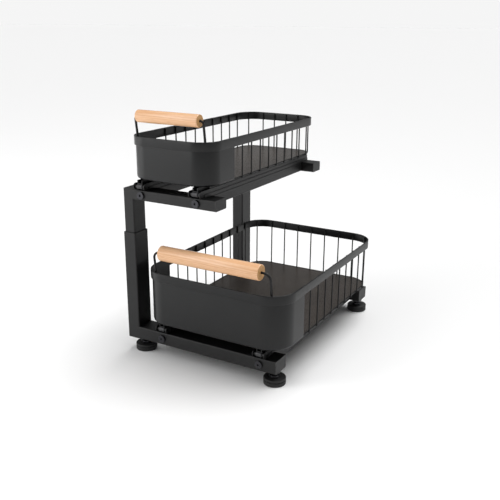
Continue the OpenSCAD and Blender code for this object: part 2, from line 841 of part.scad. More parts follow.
// Places a basket piece: its own frame starts at the basket's left, front and underside
module in_lower_basket() seat() translate([lower_basket_x, lower_basket_y, lower_zb]) children();
module in_upper_basket() seat() translate([upper_basket_x, upper_basket_y, upper_zb]) children();

// Outline of a basket of width w and corner radius r, moved in by d on every side
module basket_outline(w, r, d) round_rect([d, d], [w - d, basket_len - d], r - d);

module rim(w, h, r) {
    along_z(h - rim_h, h) difference() {
        basket_outline(w, r, 0);
        basket_outline(w, r, rim_t);
    }
}

// Cross section of the front panel, x being the distance in from the rim's outer face
module panel_section(h) {
    c = [rim_t + bend_r, bend_r];
    translate([rim_t, bend_r]) square([sheet_t, h - bend_r]);
    intersection() {
        difference() {
            translate(c) circle(r = bend_r);
            translate(c) circle(r = bend_r - sheet_t);
        }
        translate([rim_t, 0]) square(bend_r);
    }
    translate([c.x, 0]) square([flange_w, sheet_t]);
}

// Front panel, wrapped round both front corners and a little way along the sides
module panel(w, h, r) {
    along_x(r, w - r) panel_section(h);
    for (side = [0, 1]) translate([side * w, 0, 0]) mirror([side, 0, 0]) {
        along_y(r, panel_len) panel_section(h);
        translate([r, r, 0]) rotate([0, 0, 180]) rotate_extrude(angle = 90) {
            translate([r, 0]) mirror([1, 0]) panel_section(h);
        }
    }
}

module basket_floor(w, r) along_z(sheet_t, 2 * sheet_t) basket_outline(w, r, floor_inset);

// Rod round the sides and the back at the floor's edge
module rod(w, r) {
    y1 = basket_len - r;
    translate([0, 0, rod_d / 2]) {
        translate([0, basket_len - rod_inset, 0]) bar_x(r, w - r, rod_d);
        for (side = [0, 1]) translate([side * w, 0, 0]) mirror([side, 0, 0]) {
            translate([rod_inset, 0, 0]) bar_y(panel_len, y1, rod_d);
            translate([r, y1, 0]) rotate([0, 0, 90]) rotate_extrude(angle = 90) {
                translate([r - rod_inset, 0]) circle(d = rod_d);
            }
        }
    }
}

// Upright wires along the sides, in the rear corners and across the back
module wires(w, h, r, first, back_pitch) {
    corner = (r - wire_inset) * cos(45);
    y1 = basket_len - r;
    side_count = wires_in(y1 - first, side_pitch);
    back_count = wires_in(w - 2 * r, back_pitch);
    for (x = [wire_inset, w - wire_inset], i = [0 : side_count - 1]) {
        translate([x, first + i * side_pitch, 0]) bar_z(0, h - wire_top_gap, wire_d);
    }
    for (x = [r - corner, w - r + corner]) {
        translate([x, y1 + corner, 0]) bar_z(0, h - wire_top_gap, wire_d);
    }
    for (i = [0 : back_count - 1]) {
        translate([w / 2 + (i - (back_count - 1) / 2) * back_pitch, basket_len - wire_inset, 0]) {
            bar_z(0, h - wire_top_gap, wire_d);
        }
    }
}

// Bent handle wire, welded inside the front panel. y is the legs' distance from the basket's
// front, b the radius of the bends beside the grip and rise the height of the grip's axis.
module handle(w, h, leg_w, b, y, rise) {
    top = leg_len(rise);
    translate([w / 2, y, h + knee_gap]) {
        left_and_right() translate([leg_w / 2, 0, 0]) {
            bar_z(-handle_leg - knee_gap, 0, handle_wire_d);
            sphere(d = knee_d);
        }
        rotate([handle_lean, 0, 0]) {
            translate([0, 0, top]) bar_x(b - leg_w / 2, leg_w / 2 - b, handle_wire_d);
            left_and_right() {
                translate([leg_w / 2, 0, 0]) bar_z(0, top - b, handle_wire_d);
                translate([leg_w / 2 - b, 0, top - b]) rotate([90, 0, 0]) {
                    rotate_extrude(angle = 90) translate([b, 0]) circle(d = handle_wire_d);
                }
            }
        }
    }
}

// Turned wooden grip on the handle wire
module grip(w, len, d, y, z) {
    bore = handle_wire_d / 2 + pin_play;
    e = grip_edge_r;
    translate([(w - len) / 2, y, z]) rotate([0, 90, 0]) rotate_extrude() {
        square_from([bore, 0], [d / 2 - e, len]);
        square_from([bore, e], [d / 2, len - e]);
        for (y = [e, len - e]) translate([d / 2 - e, y]) circle(r = e);
    }
}

module lower_basket_rim() {
    color(panel_charcoal) in_lower_basket() rim(lower_basket_w, lower_basket_h, lower_rim_r);
}
module lower_basket_panel() {
    color(panel_charcoal) in_lower_basket() panel(lower_basket_w, lower_basket_h, lower_rim_r);
}
module lower_basket_floor() {
    color(floor_grey) in_lower_basket() basket_floor(lower_basket_w, lower_rim_r);
}
module lower_basket_rod() color(wire_black) in_lower_basket() rod(lower_basket_w, lower_rim_r);
module lower_basket_wires() {
    color(wire_black) in_lower_basket() {
        wires(lower_basket_w, lower_basket_h, lower_rim_r, lower_first_wire, lower_back_pitch);
    }
}
module lower_handle() {
    color(wire_black) in_lower_basket() {
        handle(lower_basket_w, lower_basket_h, lower_handle_w, lower_bend_r, lower_leg_y, lower_grip_rise);
    }
}
module lower_grip() {
    color(beech) in_lower_basket() {
        grip(lower_basket_w, lower_grip_len, lower_grip_d, lower_grip_y, lower_basket_h + lower_grip_rise);
    }
}

module upper_basket_rim() {
    color(panel_charcoal) in_upper_basket() rim(upper_basket_w, upper_basket_h, upper_rim_r);
}
module upper_basket_panel() {
    color(panel_charcoal) in_upper_basket() panel(upper_basket_w, upper_basket_h, upper_rim_r);
}
module upper_basket_floor() {
    color(floor_grey) in_upper_basket() basket_floor(upper_basket_w, upper_rim_r);
}
module upper_basket_rod() color(wire_black) in_upper_basket() rod(upper_basket_w, upper_rim_r);
module upper_basket_wires() {
    color(wire_black) in_upper_basket() {
        wires(upper_basket_w, upper_basket_h, upper_rim_r, upper_first_wire, upper_back_pitch);
    }
}
module upper_handle() {
    color(wire_black) in_upper_basket() {
        handle(upper_basket_w, upper_basket_h, upper_handle_w, upper_bend_r, upper_leg_y, upper_grip_rise);
    }
}
module upper_grip() {
    color(beech) in_upper_basket() {
        grip(upper_basket_w, upper_grip_len, upper_grip_d, upper_grip_y, upper_basket_h + upper_grip_rise);
    }
}

// ---------------------------------------------------------------- the part

lower_front_frame();
lower_rear_frame();
lower_left_rail();
lower_right_rail();
lower_rail_screws();
lower_rail_plugs();
lower_beam_caps();
foot_nuts();
post_collars();
height_lock_bosses();
height_lock_screws();
lower_left_track();
lower_right_track();
lower_roller_pins();
lower_track_screws();
foot_front_left_pad();
foot_front_right_pad();
foot_rear_left_pad();
foot_rear_right_pad();
foot_front_left_stud();
foot_front_right_stud();
foot_rear_left_stud();
foot_rear_right_stud();
upper_front_frame();
upper_rear_frame();
upper_left_rail();
upper_right_rail();
upper_rail_screws();
upper_rail_plugs();
upper_beam_caps();
post_end_plugs();
upper_left_track();
upper_right_track();
upper_roller_pins();
upper_track_screws();
lower_basket_rim();
lower_basket_panel();
lower_basket_floor();
lower_basket_rod();
lower_basket_wires();
lower_handle();
lower_left_runner();
lower_right_runner();
lower_wheel_pins();
lower_front_rollers();
lower_rear_wheels();
lower_grip();
upper_basket_rim();
upper_basket_panel();
upper_basket_floor();
upper_basket_rod();
upper_basket_wires();
upper_handle();
upper_left_runner();
upper_right_runner();
upper_wheel_pins();
upper_front_rollers();
upper_rear_wheels();
upper_grip();
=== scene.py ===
"""Looks of a two-tier pull out cabinet basket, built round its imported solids.

A name that ends in _mm holds millimetres. Every other length is in metres.
"""

import json
import logging
import math
from collections.abc import Callable, Iterable, Sequence
from dataclasses import dataclass, field
from enum import Enum

import bmesh
import bpy
import numpy as np
from mathutils import Euler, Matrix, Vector


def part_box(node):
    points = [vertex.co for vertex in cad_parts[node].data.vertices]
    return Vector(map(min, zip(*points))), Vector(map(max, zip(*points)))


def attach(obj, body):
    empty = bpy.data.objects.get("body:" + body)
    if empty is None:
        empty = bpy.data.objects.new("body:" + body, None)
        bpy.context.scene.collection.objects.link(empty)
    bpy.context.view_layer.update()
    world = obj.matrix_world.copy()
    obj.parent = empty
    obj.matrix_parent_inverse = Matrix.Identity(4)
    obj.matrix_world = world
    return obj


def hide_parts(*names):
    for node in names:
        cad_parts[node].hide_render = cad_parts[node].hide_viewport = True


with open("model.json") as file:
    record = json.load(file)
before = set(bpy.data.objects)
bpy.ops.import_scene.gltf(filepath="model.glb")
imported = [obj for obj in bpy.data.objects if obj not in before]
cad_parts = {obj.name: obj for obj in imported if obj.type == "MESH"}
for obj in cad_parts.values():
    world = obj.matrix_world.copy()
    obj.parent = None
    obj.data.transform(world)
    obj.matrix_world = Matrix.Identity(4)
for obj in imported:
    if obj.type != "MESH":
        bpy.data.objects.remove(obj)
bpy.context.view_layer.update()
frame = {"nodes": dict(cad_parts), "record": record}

LOG = logging.getLogger("cabinet_basket")
MM = 0.001
# Points on a ring, where its piece doesn't ask for another number
SIDES = 48
# Edges that turn by more than this stay sharp
SHARP_DEGREES = 34.0
# A length below this counts as nothing
TINY = 1e-6
# The share of a wire's radius that is broken off at its ends
END_BREAK = 0.2
# The circle that cuts a hexagon's corners off, against the one inside its flats
CORNER_CUT = 1.02
# A ring wave of scale 1 has a crest this often
WAVE_CREST = 0.314
Colour = tuple[float, float, float, float]
Pair = tuple[float, float]
Triple = tuple[float, float, float]


class Tier(Enum):
    """The two tiers, named as their solids are."""

    LOWER = "lower"
    UPPER = "upper"


class Coat(Enum):
    """The material slots that the pieces take their finish from."""

    FRAME = "frame_coat"
    SLIDE = "slide_coat"
    PANEL = "panel_coat"
    FLOOR = "floor_coat"
    WIRE = "wire_coat"
    SCREW = "screw_zinc"
    CAP = "black_plastic"
    SOLE = "foot_rubber"
    ROLLER = "roller_plastic"
    GRIP = "grip_wood"


class Turning(Enum):
    """Which axis a turned piece stands along."""

    X = "x"
    Y = "y"
    Z = "z"


def centre_of(node: str) -> Triple:
    """The middle of a solid's box."""
    low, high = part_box(node)
    return ((low.x + high.x) / 2, (low.y + high.y) / 2, (low.z + high.z) / 2)


# ---------------------------------------------------------------- colour and nodes


def linear(hex_colour: str) -> Colour:
    """Turns an sRGB hex colour into a linear one, by the standard's own curve.

    Args:
        hex_colour: the colour as "#rrggbb".

    Returns:
        Linear red, green, blue and an alpha of 1.
    """
    parts = [int(hex_colour[i : i + 2], 16) / 255 for i in (1, 3, 5)]
    red, green, blue = (
        c / 12.92 if c <= 0.04045 else ((c + 0.055) / 1.055) ** 2.4 for c in parts
    )
    return (red, green, blue, 1.0)


def add_node(
    tree: bpy.types.NodeTree,
    kind: str,
    settings: dict[str | int, object] | None = None,
    links: dict[str | int, bpy.types.NodeSocket] | None = None,
) -> bpy.types.Node:
    """Adds a node with its settings and links.

    Args:
        tree: the node tree it goes into.
        kind: Blender's name for the node.
        settings: attributes of the node, or values of its inputs, by name or number.
        links: the output that feeds each input, by the input's name or number.

    Returns:
        The new node.
    """
    node = tree.nodes.new(kind)
    for name, value in (settings or {}).items():
        if isinstance(name, str) and hasattr(node, name):
            setattr(node, name, value)
        else:
            node.inputs[name].default_value = value
    for name, source in (links or {}).items():
        tree.links.new(source, node.inputs[name])
    return node


def start_material(name: str) -> tuple[bpy.types.Material, bpy.types.Node]:
    """Starts a material with one Principled shader.

    Args:
        name: the material's name.

    Returns:
        The material and its shader node.
    """
    material = bpy.data.materials.new(name)
    material.use_nodes = True
    tree = material.node_tree
    tree.nodes.clear()
    shader = add_node(tree, "ShaderNodeBsdfPrincipled")
    add_node(tree, "ShaderNodeOutputMaterial", links={"Surface": shader.outputs["BSDF"]})
    return material, shader


# ---------------------------------------------------------------- finishes


@dataclass(frozen=True)
class TwoTone:
    """What the coats, mouldings and plating share: two close colours and a roughness."""

    name: str
    dark: str
    light: str
    roughness: float

    def paint(
        self,
        shader: bpy.types.Node,
        tone: bpy.types.NodeSocket,
        sheen: bpy.types.NodeSocket,
        swing: Pair,
        sheen_range: Pair = (0.0, 1.0),
    ) -> None:
        """Gives the shader its colour and roughness.

        Args:
            shader: the finish's shader.
            tone: runs from the dark colour at 0 to the light one at 1.
            sheen: moves the roughness.
            swing: how far the roughness goes below and above its middle.
            sheen_range: the values of sheen that give the two ends of the swing.
        """
        tree = shader.id_data
        colour = add_node(
            tree,
            "ShaderNodeMix",
            {"data_type": "RGBA", 6: linear(self.dark), 7: linear(self.light)},
            {0: tone},
        )
        gloss = add_node(
            tree,
            "ShaderNodeMapRange",
            {
                "From Min": sheen_range[0],
                "From Max": sheen_range[1],
                "To Min": self.roughness - swing[0],
                "To Max": self.roughness + swing[1],
            },
            {"Value": sheen},
        )
        tree.links.new(colour.outputs[2], shader.inputs["Base Color"])
        tree.links.new(gloss.outputs[0], shader.inputs["Roughness"])


@dataclass(frozen=True)
class PowderCoat(TwoTone):
    """Polyester powder coat baked on steel.

    The powder melts into a film with a fine orange-peel skin, so the eye gets a dark, even
    colour with soft highlights that break up slightly. The skin's dimples are about 0.3 mm
    apart; they are drawn at peel_mm so that they show. The film's IOR starts from
    polyester's 1.5 and is matched a little lower, as the pigment dulls the skin.
    """

    peel_mm: float = 1.6
    cloud_mm: float = 38.0
    peel_height_mm: float = 0.012
    ior: float = 1.45
    peel_in_colour: float = 0.45
    tone_range: Pair = (0.5, 0.95)
    swing: Pair = (0.05, 0.05)
    peel_range: Pair = (0.3, 0.7)

    def material(self) -> bpy.types.Material:
        """Builds the coat's material.

        Returns:
            The material.
        """
        material, shader = start_material(self.name)
        tree = material.node_tree
        place = add_node(tree, "ShaderNodeTexCoord").outputs["Object"]
        peel = add_node(
            tree,
            "ShaderNodeTexNoise",
            {"Scale": 1000 / self.peel_mm, "Detail": 2.0, "Roughness": 0.55},
            {"Vector": place},
        ).outputs["Fac"]
        cloud = add_node(
            tree,
            "ShaderNodeTexNoise",
            {"Scale": 1000 / self.cloud_mm, "Detail": 3.0, "Roughness": 0.5},
            {"Vector": place},
        ).outputs["Fac"]
        blend = add_node(
            tree,
            "ShaderNodeMath",
            {"operation": "MULTIPLY_ADD", 1: self.peel_in_colour},
            {0: peel, 2: cloud},
        )
        low, high = self.tone_range
        tone = add_node(
            tree,
            "ShaderNodeMapRange",
            {"From Min": low, "From Max": high},
            {"Value": blend.outputs[0]},
        )
        bump = add_node(
            tree,
            "ShaderNodeBump",
            {"Strength": 0.5, "Distance": self.peel_height_mm * MM},
            {"Height": peel},
        )
        self.paint(shader, tone.outputs[0], peel, self.swing, self.peel_range)
        tree.links.new(bump.outputs[0], shader.inputs["Normal"])
        shader.inputs["IOR"].default_value = self.ior
        return material


@dataclass(frozen=True)
class MouldedPolymer(TwoTone):
    """Injection-moulded plastic or rubber with the mould's fine spark-eroded grain.

    The grain's pits are about 0.15 mm across and are drawn at grain_mm so that they show as
    a slight break in the sheen. The melt's flow leaves faint clouds about flow_mm wide.
    """

    ior: float
    grain_mm: float = 0.9
    grain_height_mm: float = 0.01
    flow_mm: float = 12.6
    swing: Pair = (0.04, 0.06)

    def material(self) -> bpy.types.Material:
        """Builds the moulding's material.

        Returns:
            The material.
        """
        material, shader = start_material(self.name)
        tree = material.node_tree
        place = add_node(tree, "ShaderNodeTexCoord").outputs["Object"]
        grain = add_node(
            tree,
            "ShaderNodeTexVoronoi",
            {"Scale": 1000 / self.grain_mm, "feature": "SMOOTH_F1"},
            {"Vector": place},
        )
        flow = add_node(
            tree,
            "ShaderNodeTexNoise",
            {"Scale": 1000 / self.flow_mm, "Detail": 2.0},
            {"Vector": place},
        ).outputs["Fac"]
        bump = add_node(
            tree,
            "ShaderNodeBump",
            {"Strength": 0.4, "Distance": self.grain_height_mm * MM},
            {"Height": grain.outputs["Distance"]},
        )
        self.paint(shader, flow, flow, self.swing)
        tree.links.new(bump.outputs[0], shader.inputs["Normal"])
        shader.inputs["IOR"].default_value = self.ior
        return material


@dataclass(frozen=True)
class BlackZinc(TwoTone):
    """Black passivated zinc plating on a steel fastener.

    The passivation leaves a thin dark film over crystalline zinc, so the eye gets a near
    black metal with a cool, slightly cloudy sheen. The clouds are a few millimetres wide.
    """

    cloud_mm: float = 2.5
    swing: Pair = (0.08, 0.1)

    def material(self) -> bpy.types.Material:
        """Builds the plating's material.

        Returns:
            The material.
        """
        material, shader = start_material(self.name)
        tree = material.node_tree
        place = add_node(tree, "ShaderNodeTexCoord").outputs["Object"]
        cloud = add_node(
            tree,
            "ShaderNodeTexNoise",
            {"Scale": 1000 / self.cloud_mm, "Detail": 4.0},
            {"Vector": place},
        ).outputs["Fac"]
        self.paint(shader, cloud, cloud, self.swing)
        shader.inputs["Metallic"].default_value = 1.0
        return material


@dataclass(frozen=True)
class TurnedBeech:
    """Steamed beech, turned and clear lacquered.

    Beech is pinkish straw with faint growth bands about band_mm apart and short dark ray
    flecks that lie along the grain. Real flecks are about 0.2 mm wide and 1 to 3 mm long;
    they are drawn at fleck_mm and fleck_length_mm so that they show. The lacquer gives the
    turned side a clear satin streak, and leaves the cut ends, which drink it in, dull.
    """

    name: str
    pale: str
    band: str
    fleck: str
    centre: Triple
    band_mm: float = 2.4
    fleck_mm: float = 0.7
    fleck_length_mm: float = 16.0
    fleck_height_mm: float = 0.02
    pith_mm: Triple = (0.0, 26.0, -44.0)
    wander_mm: float = 200.0
    wander_reach_mm: float = 6.0
    roughness: float = 0.2
    swing: Pair = (0.03, 0.05)
    ior: float = 1.49

    def material(self) -> bpy.types.Material:
        """Builds the wood's material.

        Returns:
            The material.
        """
        material, shader = start_material(self.name)
        tree = material.node_tree
        place = add_node(tree, "ShaderNodeTexCoord").outputs["Object"]
        pith = tuple(-c - p * MM for c, p in zip(self.centre, self.pith_mm))
        from_pith = add_node(
            tree, "ShaderNodeMapping", {"Location": pith}, {"Vector": place}
        ).outputs[0]
        # The tree's own taper and waviness: slow along the grain, and only across it
        wander = add_node(
            tree,
            "ShaderNodeTexNoise",
            {"Scale": 1000 / self.wander_mm, "Detail": 1.0},
            {"Vector": from_pith},
        )
        reach = self.wander_reach_mm * MM
        bent = add_node(
            tree,
            "ShaderNodeVectorMath",
            {"operation": "MULTIPLY_ADD", 1: (0.0, reach, reach)},
            {0: wander.outputs["Color"], 2: from_pith},
        )
        rings = add_node(
            tree,
            "ShaderNodeTexWave",
            {
                "wave_type": "RINGS",
                "rings_direction": "X",
                "Scale": WAVE_CREST / (self.band_mm * MM),
                "Distortion": 0.6,
                "Detail": 1.0,
            },
            {"Vector": bent.outputs[0]},
        )
        along = add_node(
            tree,
            "ShaderNodeMapping",
            {"Scale": (self.fleck_mm / self.fleck_length_mm, 1.0, 1.0)},
            {"Vector": from_pith},
        )
        flecks = add_node(
            tree,
            "ShaderNodeTexNoise",
            {"Scale": 1000 / self.fleck_mm, "Detail": 1.0},
            {"Vector": along.outputs[0]},
        ).outputs["Fac"]
        # Only the noise's crests are flecks, and none hides the wood under it
        fleck_share = add_node(
            tree,
            "ShaderNodeMapRange",
            {"From Min": 0.56, "From Max": 0.72, "To Max": 0.55},
            {"Value": flecks},
        )
        band_share = add_node(
            tree,
            "ShaderNodeMapRange",
            {"From Min": 0.25, "To Max": 0.8},
            {"Value": rings.outputs["Fac"]},
        )
        banded = add_node(
            tree,
            "ShaderNodeMix",
            {"data_type": "RGBA", 6: linear(self.pale), 7: linear(self.band)},
            {0: band_share.outputs[0]},
        )
        flecked = add_node(
            tree,
            "ShaderNodeMix",
            {"data_type": "RGBA", 7: linear(self.fleck)},
            {0: fleck_share.outputs[0], 6: banded.outputs[2]},
        )
        gloss = add_node(
            tree,
            "ShaderNodeMapRange",
            {"To Min": self.roughness - self.swing[0], "To Max": self.roughness + self.swing[1]},
            {"Value": flecks},
        )
        bump = add_node(
            tree,
            "ShaderNodeBump",
            {"Strength": 0.25, "Distance": self.fleck_height_mm * MM},
            {"Height": flecks},
        )
        tree.links.new(flecked.outputs[2], shader.inputs["Base Color"])
        tree.links.new(gloss.outputs[0], shader.inputs["Roughness"])
        tree.links.new(bump.outputs[0], shader.inputs["Normal"])
        shader.inputs["IOR"].default_value = self.ior
        return material


# The coat on tube is the thickest and dimples most. On sheet it lies smoother and shines more,
# on wire it is thin and dark. The floor's is the sheet's paint drawn as a lighter, warmer grey:
# painted light from above.
FINISHES: dict[Coat, PowderCoat | MouldedPolymer | BlackZinc] = {
    Coat.FRAME: PowderCoat(
        "powder_coat_black_on_tube",
        "#040404",
        "#0e0e0f",
        0.47,
        peel_mm=2.2,
        peel_height_mm=0.035,
        ior=1.43,
    ),
    Coat.SLIDE: PowderCoat("powder_coat_black_on_folded_steel", "#050505", "#0a0a0b", 0.48),
    Coat.PANEL: PowderCoat("powder_coat_charcoal_on_sheet", "#050607", "#0a0b0c", 0.36, ior=1.41),
    # The floor sheet has the panel's paint, drawn lighter and warmer as painted light falling on it
    # from above
    Coat.FLOOR: PowderCoat("powder_coat_on_floor_sheet_painted_lit", "#302b27", "#3c3631", 0.3),
    Coat.WIRE: PowderCoat("powder_coat_black_on_wire", "#030303", "#070707", 0.4, ior=1.38),
    Coat.SCREW: BlackZinc("black_zinc_on_steel", "#343437", "#48484b", 0.36),
    Coat.CAP: MouldedPolymer("moulded_black_polypropylene", "#080808", "#0d0d0e", 0.5, 1.49),
    Coat.SOLE: MouldedPolymer("moulded_black_rubber", "#060606", "#0b0b0b", 0.6, 1.52),
    Coat.ROLLER: MouldedPolymer("moulded_grey_acetal", "#29292b", "#323235", 0.4, 1.48),
}


# ---------------------------------------------------------------- mesh code


class MeshBook:
    """Gathers lofted surfaces into one mesh.

    A ring is an array of points that closes on itself. Rings follow each other along a
    piece, and each has as many points as the one before it.
    """

    def __init__(self) -> None:
        """Starts an empty book."""
        self.points: list[np.ndarray] = []
        self.faces: list[tuple[int, ...]] = []
        self.marks: list[int] = []
        self.count = 0

    @classmethod
    def of(cls, rings: Sequence[np.ndarray], joined: bool = False) -> "MeshBook":
        """Starts a book with one loft.

        Args:
            rings: the loft's rings.
            joined: whether the last ring runs into the first.

        Returns:
            The book.
        """
        book = cls()
        book.loft(rings, joined)
        return book

    def loft(
        self,
        rings: Sequence[np.ndarray],
        joined: bool = False,
        caps: bool = True,
        mark: int = 0,
    ) -> None:
        """Joins rings with quads.

        Args:
            rings: the rings in order, each an array of shape (points, 3).
            joined: whether the last ring runs into the first.
            caps: whether the ends are closed, when they aren't joined.
            mark: the place of the faces' material among the piece's own.
        """
        size, total = len(rings[0]), len(rings)
        first = self.count
        self.points.extend(rings)
        self.count += size * total
        for i in range(total if joined else total - 1):
            a, b = first + i * size, first + (i + 1) % total * size
            for j in range(size):
                k = (j + 1) % size
                self.faces.append((a + j, a + k, b + k, b + j))
                self.marks.append(mark)
        if caps and not joined:
            last = first + (total - 1) * size
            self.faces.append(tuple(range(first + size - 1, first - 1, -1)))
            self.faces.append(tuple(range(last, last + size)))
            self.marks += [mark, mark]

    def make(self, name: str) -> bpy.types.Object:
        """Makes the object and puts it in the scene.

        Args:
            name: the object's name.

        Returns:
            The object, at the origin, with its place in its mesh.
        """
        mesh = bpy.data.meshes.new(name)
        mesh.from_pydata(np.concatenate(self.points).tolist(), [], self.faces)
        mesh.polygons.foreach_set("material_index", self.marks)
        shape = bmesh.new()
        shape.from_mesh(mesh)
        caps = [f for f in shape.faces if len(f.verts) > 4]
        bmesh.ops.recalc_face_normals(shape, faces=shape.faces)
        # A cap's outline may be hollow, so it isn't left as one face
        bmesh.ops.triangulate(shape, faces=caps, ngon_method="EAR_CLIP")
        shape.to_mesh(mesh)
        shape.free()
        mesh.polygons.foreach_set("use_smooth", [True] * len(mesh.polygons))
        mesh.set_sharp_from_angle(angle=math.radians(SHARP_DEGREES))
        piece = bpy.data.objects.new(name, mesh)
        bpy.context.scene.collection.objects.link(piece)
        return piece


def weld_seams(piece: bpy.types.Object) -> None:
    """Joins points that lie on each other, so that a piece is one closed surface.

    Args:
        piece: the piece whose mesh is changed.
    """
    shape = bmesh.new()
    shape.from_mesh(piece.data)
    bmesh.ops.remove_doubles(shape, verts=shape.verts, dist=TINY)
    bmesh.ops.recalc_face_normals(shape, faces=shape.faces)
    shape.to_mesh(piece.data)
    shape.free()
    piece.data.set_sharp_from_angle(angle=math.radians(SHARP_DEGREES))


def circle_ring(
    radius: float | np.ndarray, height: float | np.ndarray, sides: int = SIDES
) -> np.ndarray:
    """A ring round +Z.

    Args:
        radius: its radius, or that of each of its points, in metres.
        height: its height, or that of each of its points, in metres.
        sides: how many points it has.

    Returns:
        The ring, an array of shape (sides, 3).
    """
    turn = np.arange(sides) * 2 * math.pi / sides
    return np.stack(
        [radius * np.cos(turn), radius * np.sin(turn), np.full(sides, height)], axis=1
    )


def hexagon_ring(flats: float, height: float, corner: float | None = None) -> np.ndarray:
    """A hexagonal ring round +Z.

    Args:
        flats: the size across its flats, in metres.
        height: its height, in metres.
        corner: the radius that cuts its corners off, in metres.

    Returns:
        The ring, with two flats square to X.
    """
    turn = np.arange(SIDES) * 2 * math.pi / SIDES
    off_flat = (turn + math.pi / 6) % (math.pi / 3) - math.pi / 6
    radius = flats / 2 / np.cos(off_flat)
    if corner is not None:
        radius = np.minimum(radius, corner)
    return circle_ring(radius, height)


def hexagon_wall(flats: float, low: float, high: float, cut: float) -> list[np.ndarray]:
    """The rings of a hexagon whose corners are turned off at both ends.

    Args:
        flats: the size across its flats, in metres.
        low: the height of its lower end, in metres.
        high: the height of its upper end, in metres.
        cut: how far from each end the corners are whole again, in metres.

    Returns:
        The rings, from the lower end up.
    """
    corner = flats / 2 * CORNER_CUT
    return [
        hexagon_ring(flats, low, corner),
        hexagon_ring(flats, low + cut),
        hexagon_ring(flats, high - cut),
        hexagon_ring(flats, high, corner),
    ]


def placed(
    rings: Iterable[np.ndarray], at: Triple, turning: Turning = Turning.Z, flip: bool = False
) -> list[np.ndarray]:
    """Turns rings that stand along +Z onto another axis and moves them.

    Args:
        rings: the rings.
        at: where their origin goes, in metres.
        turning: the axis that +Z becomes.
        flip: whether they run along that axis backwards.

    Returns:
        The placed rings.
    """
    order = {Turning.X: (2, 0, 1), Turning.Y: (1, 2, 0), Turning.Z: (0, 1, 2)}[turning]
    sign = -1.0 if flip else 1.0
    out = []
    for ring in rings:
        turned = np.array(ring, float)
        turned[:, 2] *= sign
        out.append(turned[:, list(order)] + np.array(at))
    return out


def tube_rings(path: np.ndarray, radius: float, sides: int = 14) -> list[np.ndarray]:
    """Round rings along a path, with softly broken ends.

    Args:
        path: the centreline, an array of shape (points, 3), in metres.
        radius: the wire's radius, in metres.
        sides: how many points each ring has.

    Returns:
        The rings.
    """
    path = np.asarray(path, float)
    ahead = np.gradient(path, axis=0)
    ahead /= np.linalg.norm(ahead, axis=1)[:, None]
    side = np.cross(ahead[0], (0.0, 0.0, 1.0))
    if np.linalg.norm(side) < TINY:
        # The path starts straight up, so any level direction serves
        side = np.array((1.0, 0.0, 0.0))
    turn = np.arange(sides) * 2 * math.pi / sides
    rings = []
    for i, (point, forward) in enumerate(zip(path, ahead)):
        side = side - forward * side.dot(forward)
        side /= np.linalg.norm(side)
        up = np.cross(forward, side)
        round_it = np.cos(turn)[:, None] * side + np.sin(turn)[:, None] * up
        if i in (0, len(path) - 1):
            inward = forward if i == 0 else -forward
            ends = [
                point + round_it * (radius * (1 - END_BREAK)),
                point + inward * (radius * END_BREAK) + round_it * radius,
            ]
            rings += ends if i == 0 else ends[::-1]
        else:
            rings.append(point + round_it * radius)
    return rings


def bent_path(corners: Sequence[Triple], radii: Sequence[float], steps: int = 12) -> np.ndarray:
    """A path of straight runs joined by arcs.

    Args:
        corners: the points where the runs would meet, in metres.
        radii: the bend's radius at each inner corner, in metres.
        steps: how many points each bend gets.

    Returns:
        The path, an array of shape (points, 3).
    """
    points = [Vector(c) for c in corners]
    path: list[Vector] = [points[0]]
    for i, radius in enumerate(radii, start=1):
        back = (points[i - 1] - points[i]).normalized()
        on = (points[i + 1] - points[i]).normalized()
        half = back.angle(on) / 2
        reach = radius / math.tan(half)
        centre = points[i] + (back + on).normalized() * (radius / math.sin(half))
        start, end = points[i] + back * reach, points[i] + on * reach
        a, b = start - centre, end - centre
        sweep = a.angle(b)
        for s in range(steps + 1):
            t = s / steps
            arm = (a * math.sin((1 - t) * sweep) + b * math.sin(t * sweep)) / math.sin(sweep)
            path.append(centre + arm)
    path.append(points[-1])
    return np.array([tuple(p) for p in path])


def dot_rings(at: Triple, size: Triple, sides: int = 10, steps: int = 6) -> list[np.ndarray]:
    """A weld bead: a small egg.

    Args:
        at: its centre, in metres.
        size: its half sizes along X, Y and Z, in metres.
        sides: points round it.
        steps: rings up it.

    Returns:
        The rings.
    """
    rings = []
    for i in range(1, steps):
        lean = math.pi * i / steps - math.pi / 2
        ring = circle_ring(math.cos(lean), math.sin(lean), sides)
        rings.append(ring * np.array(size) + np.array(at))
    return rings


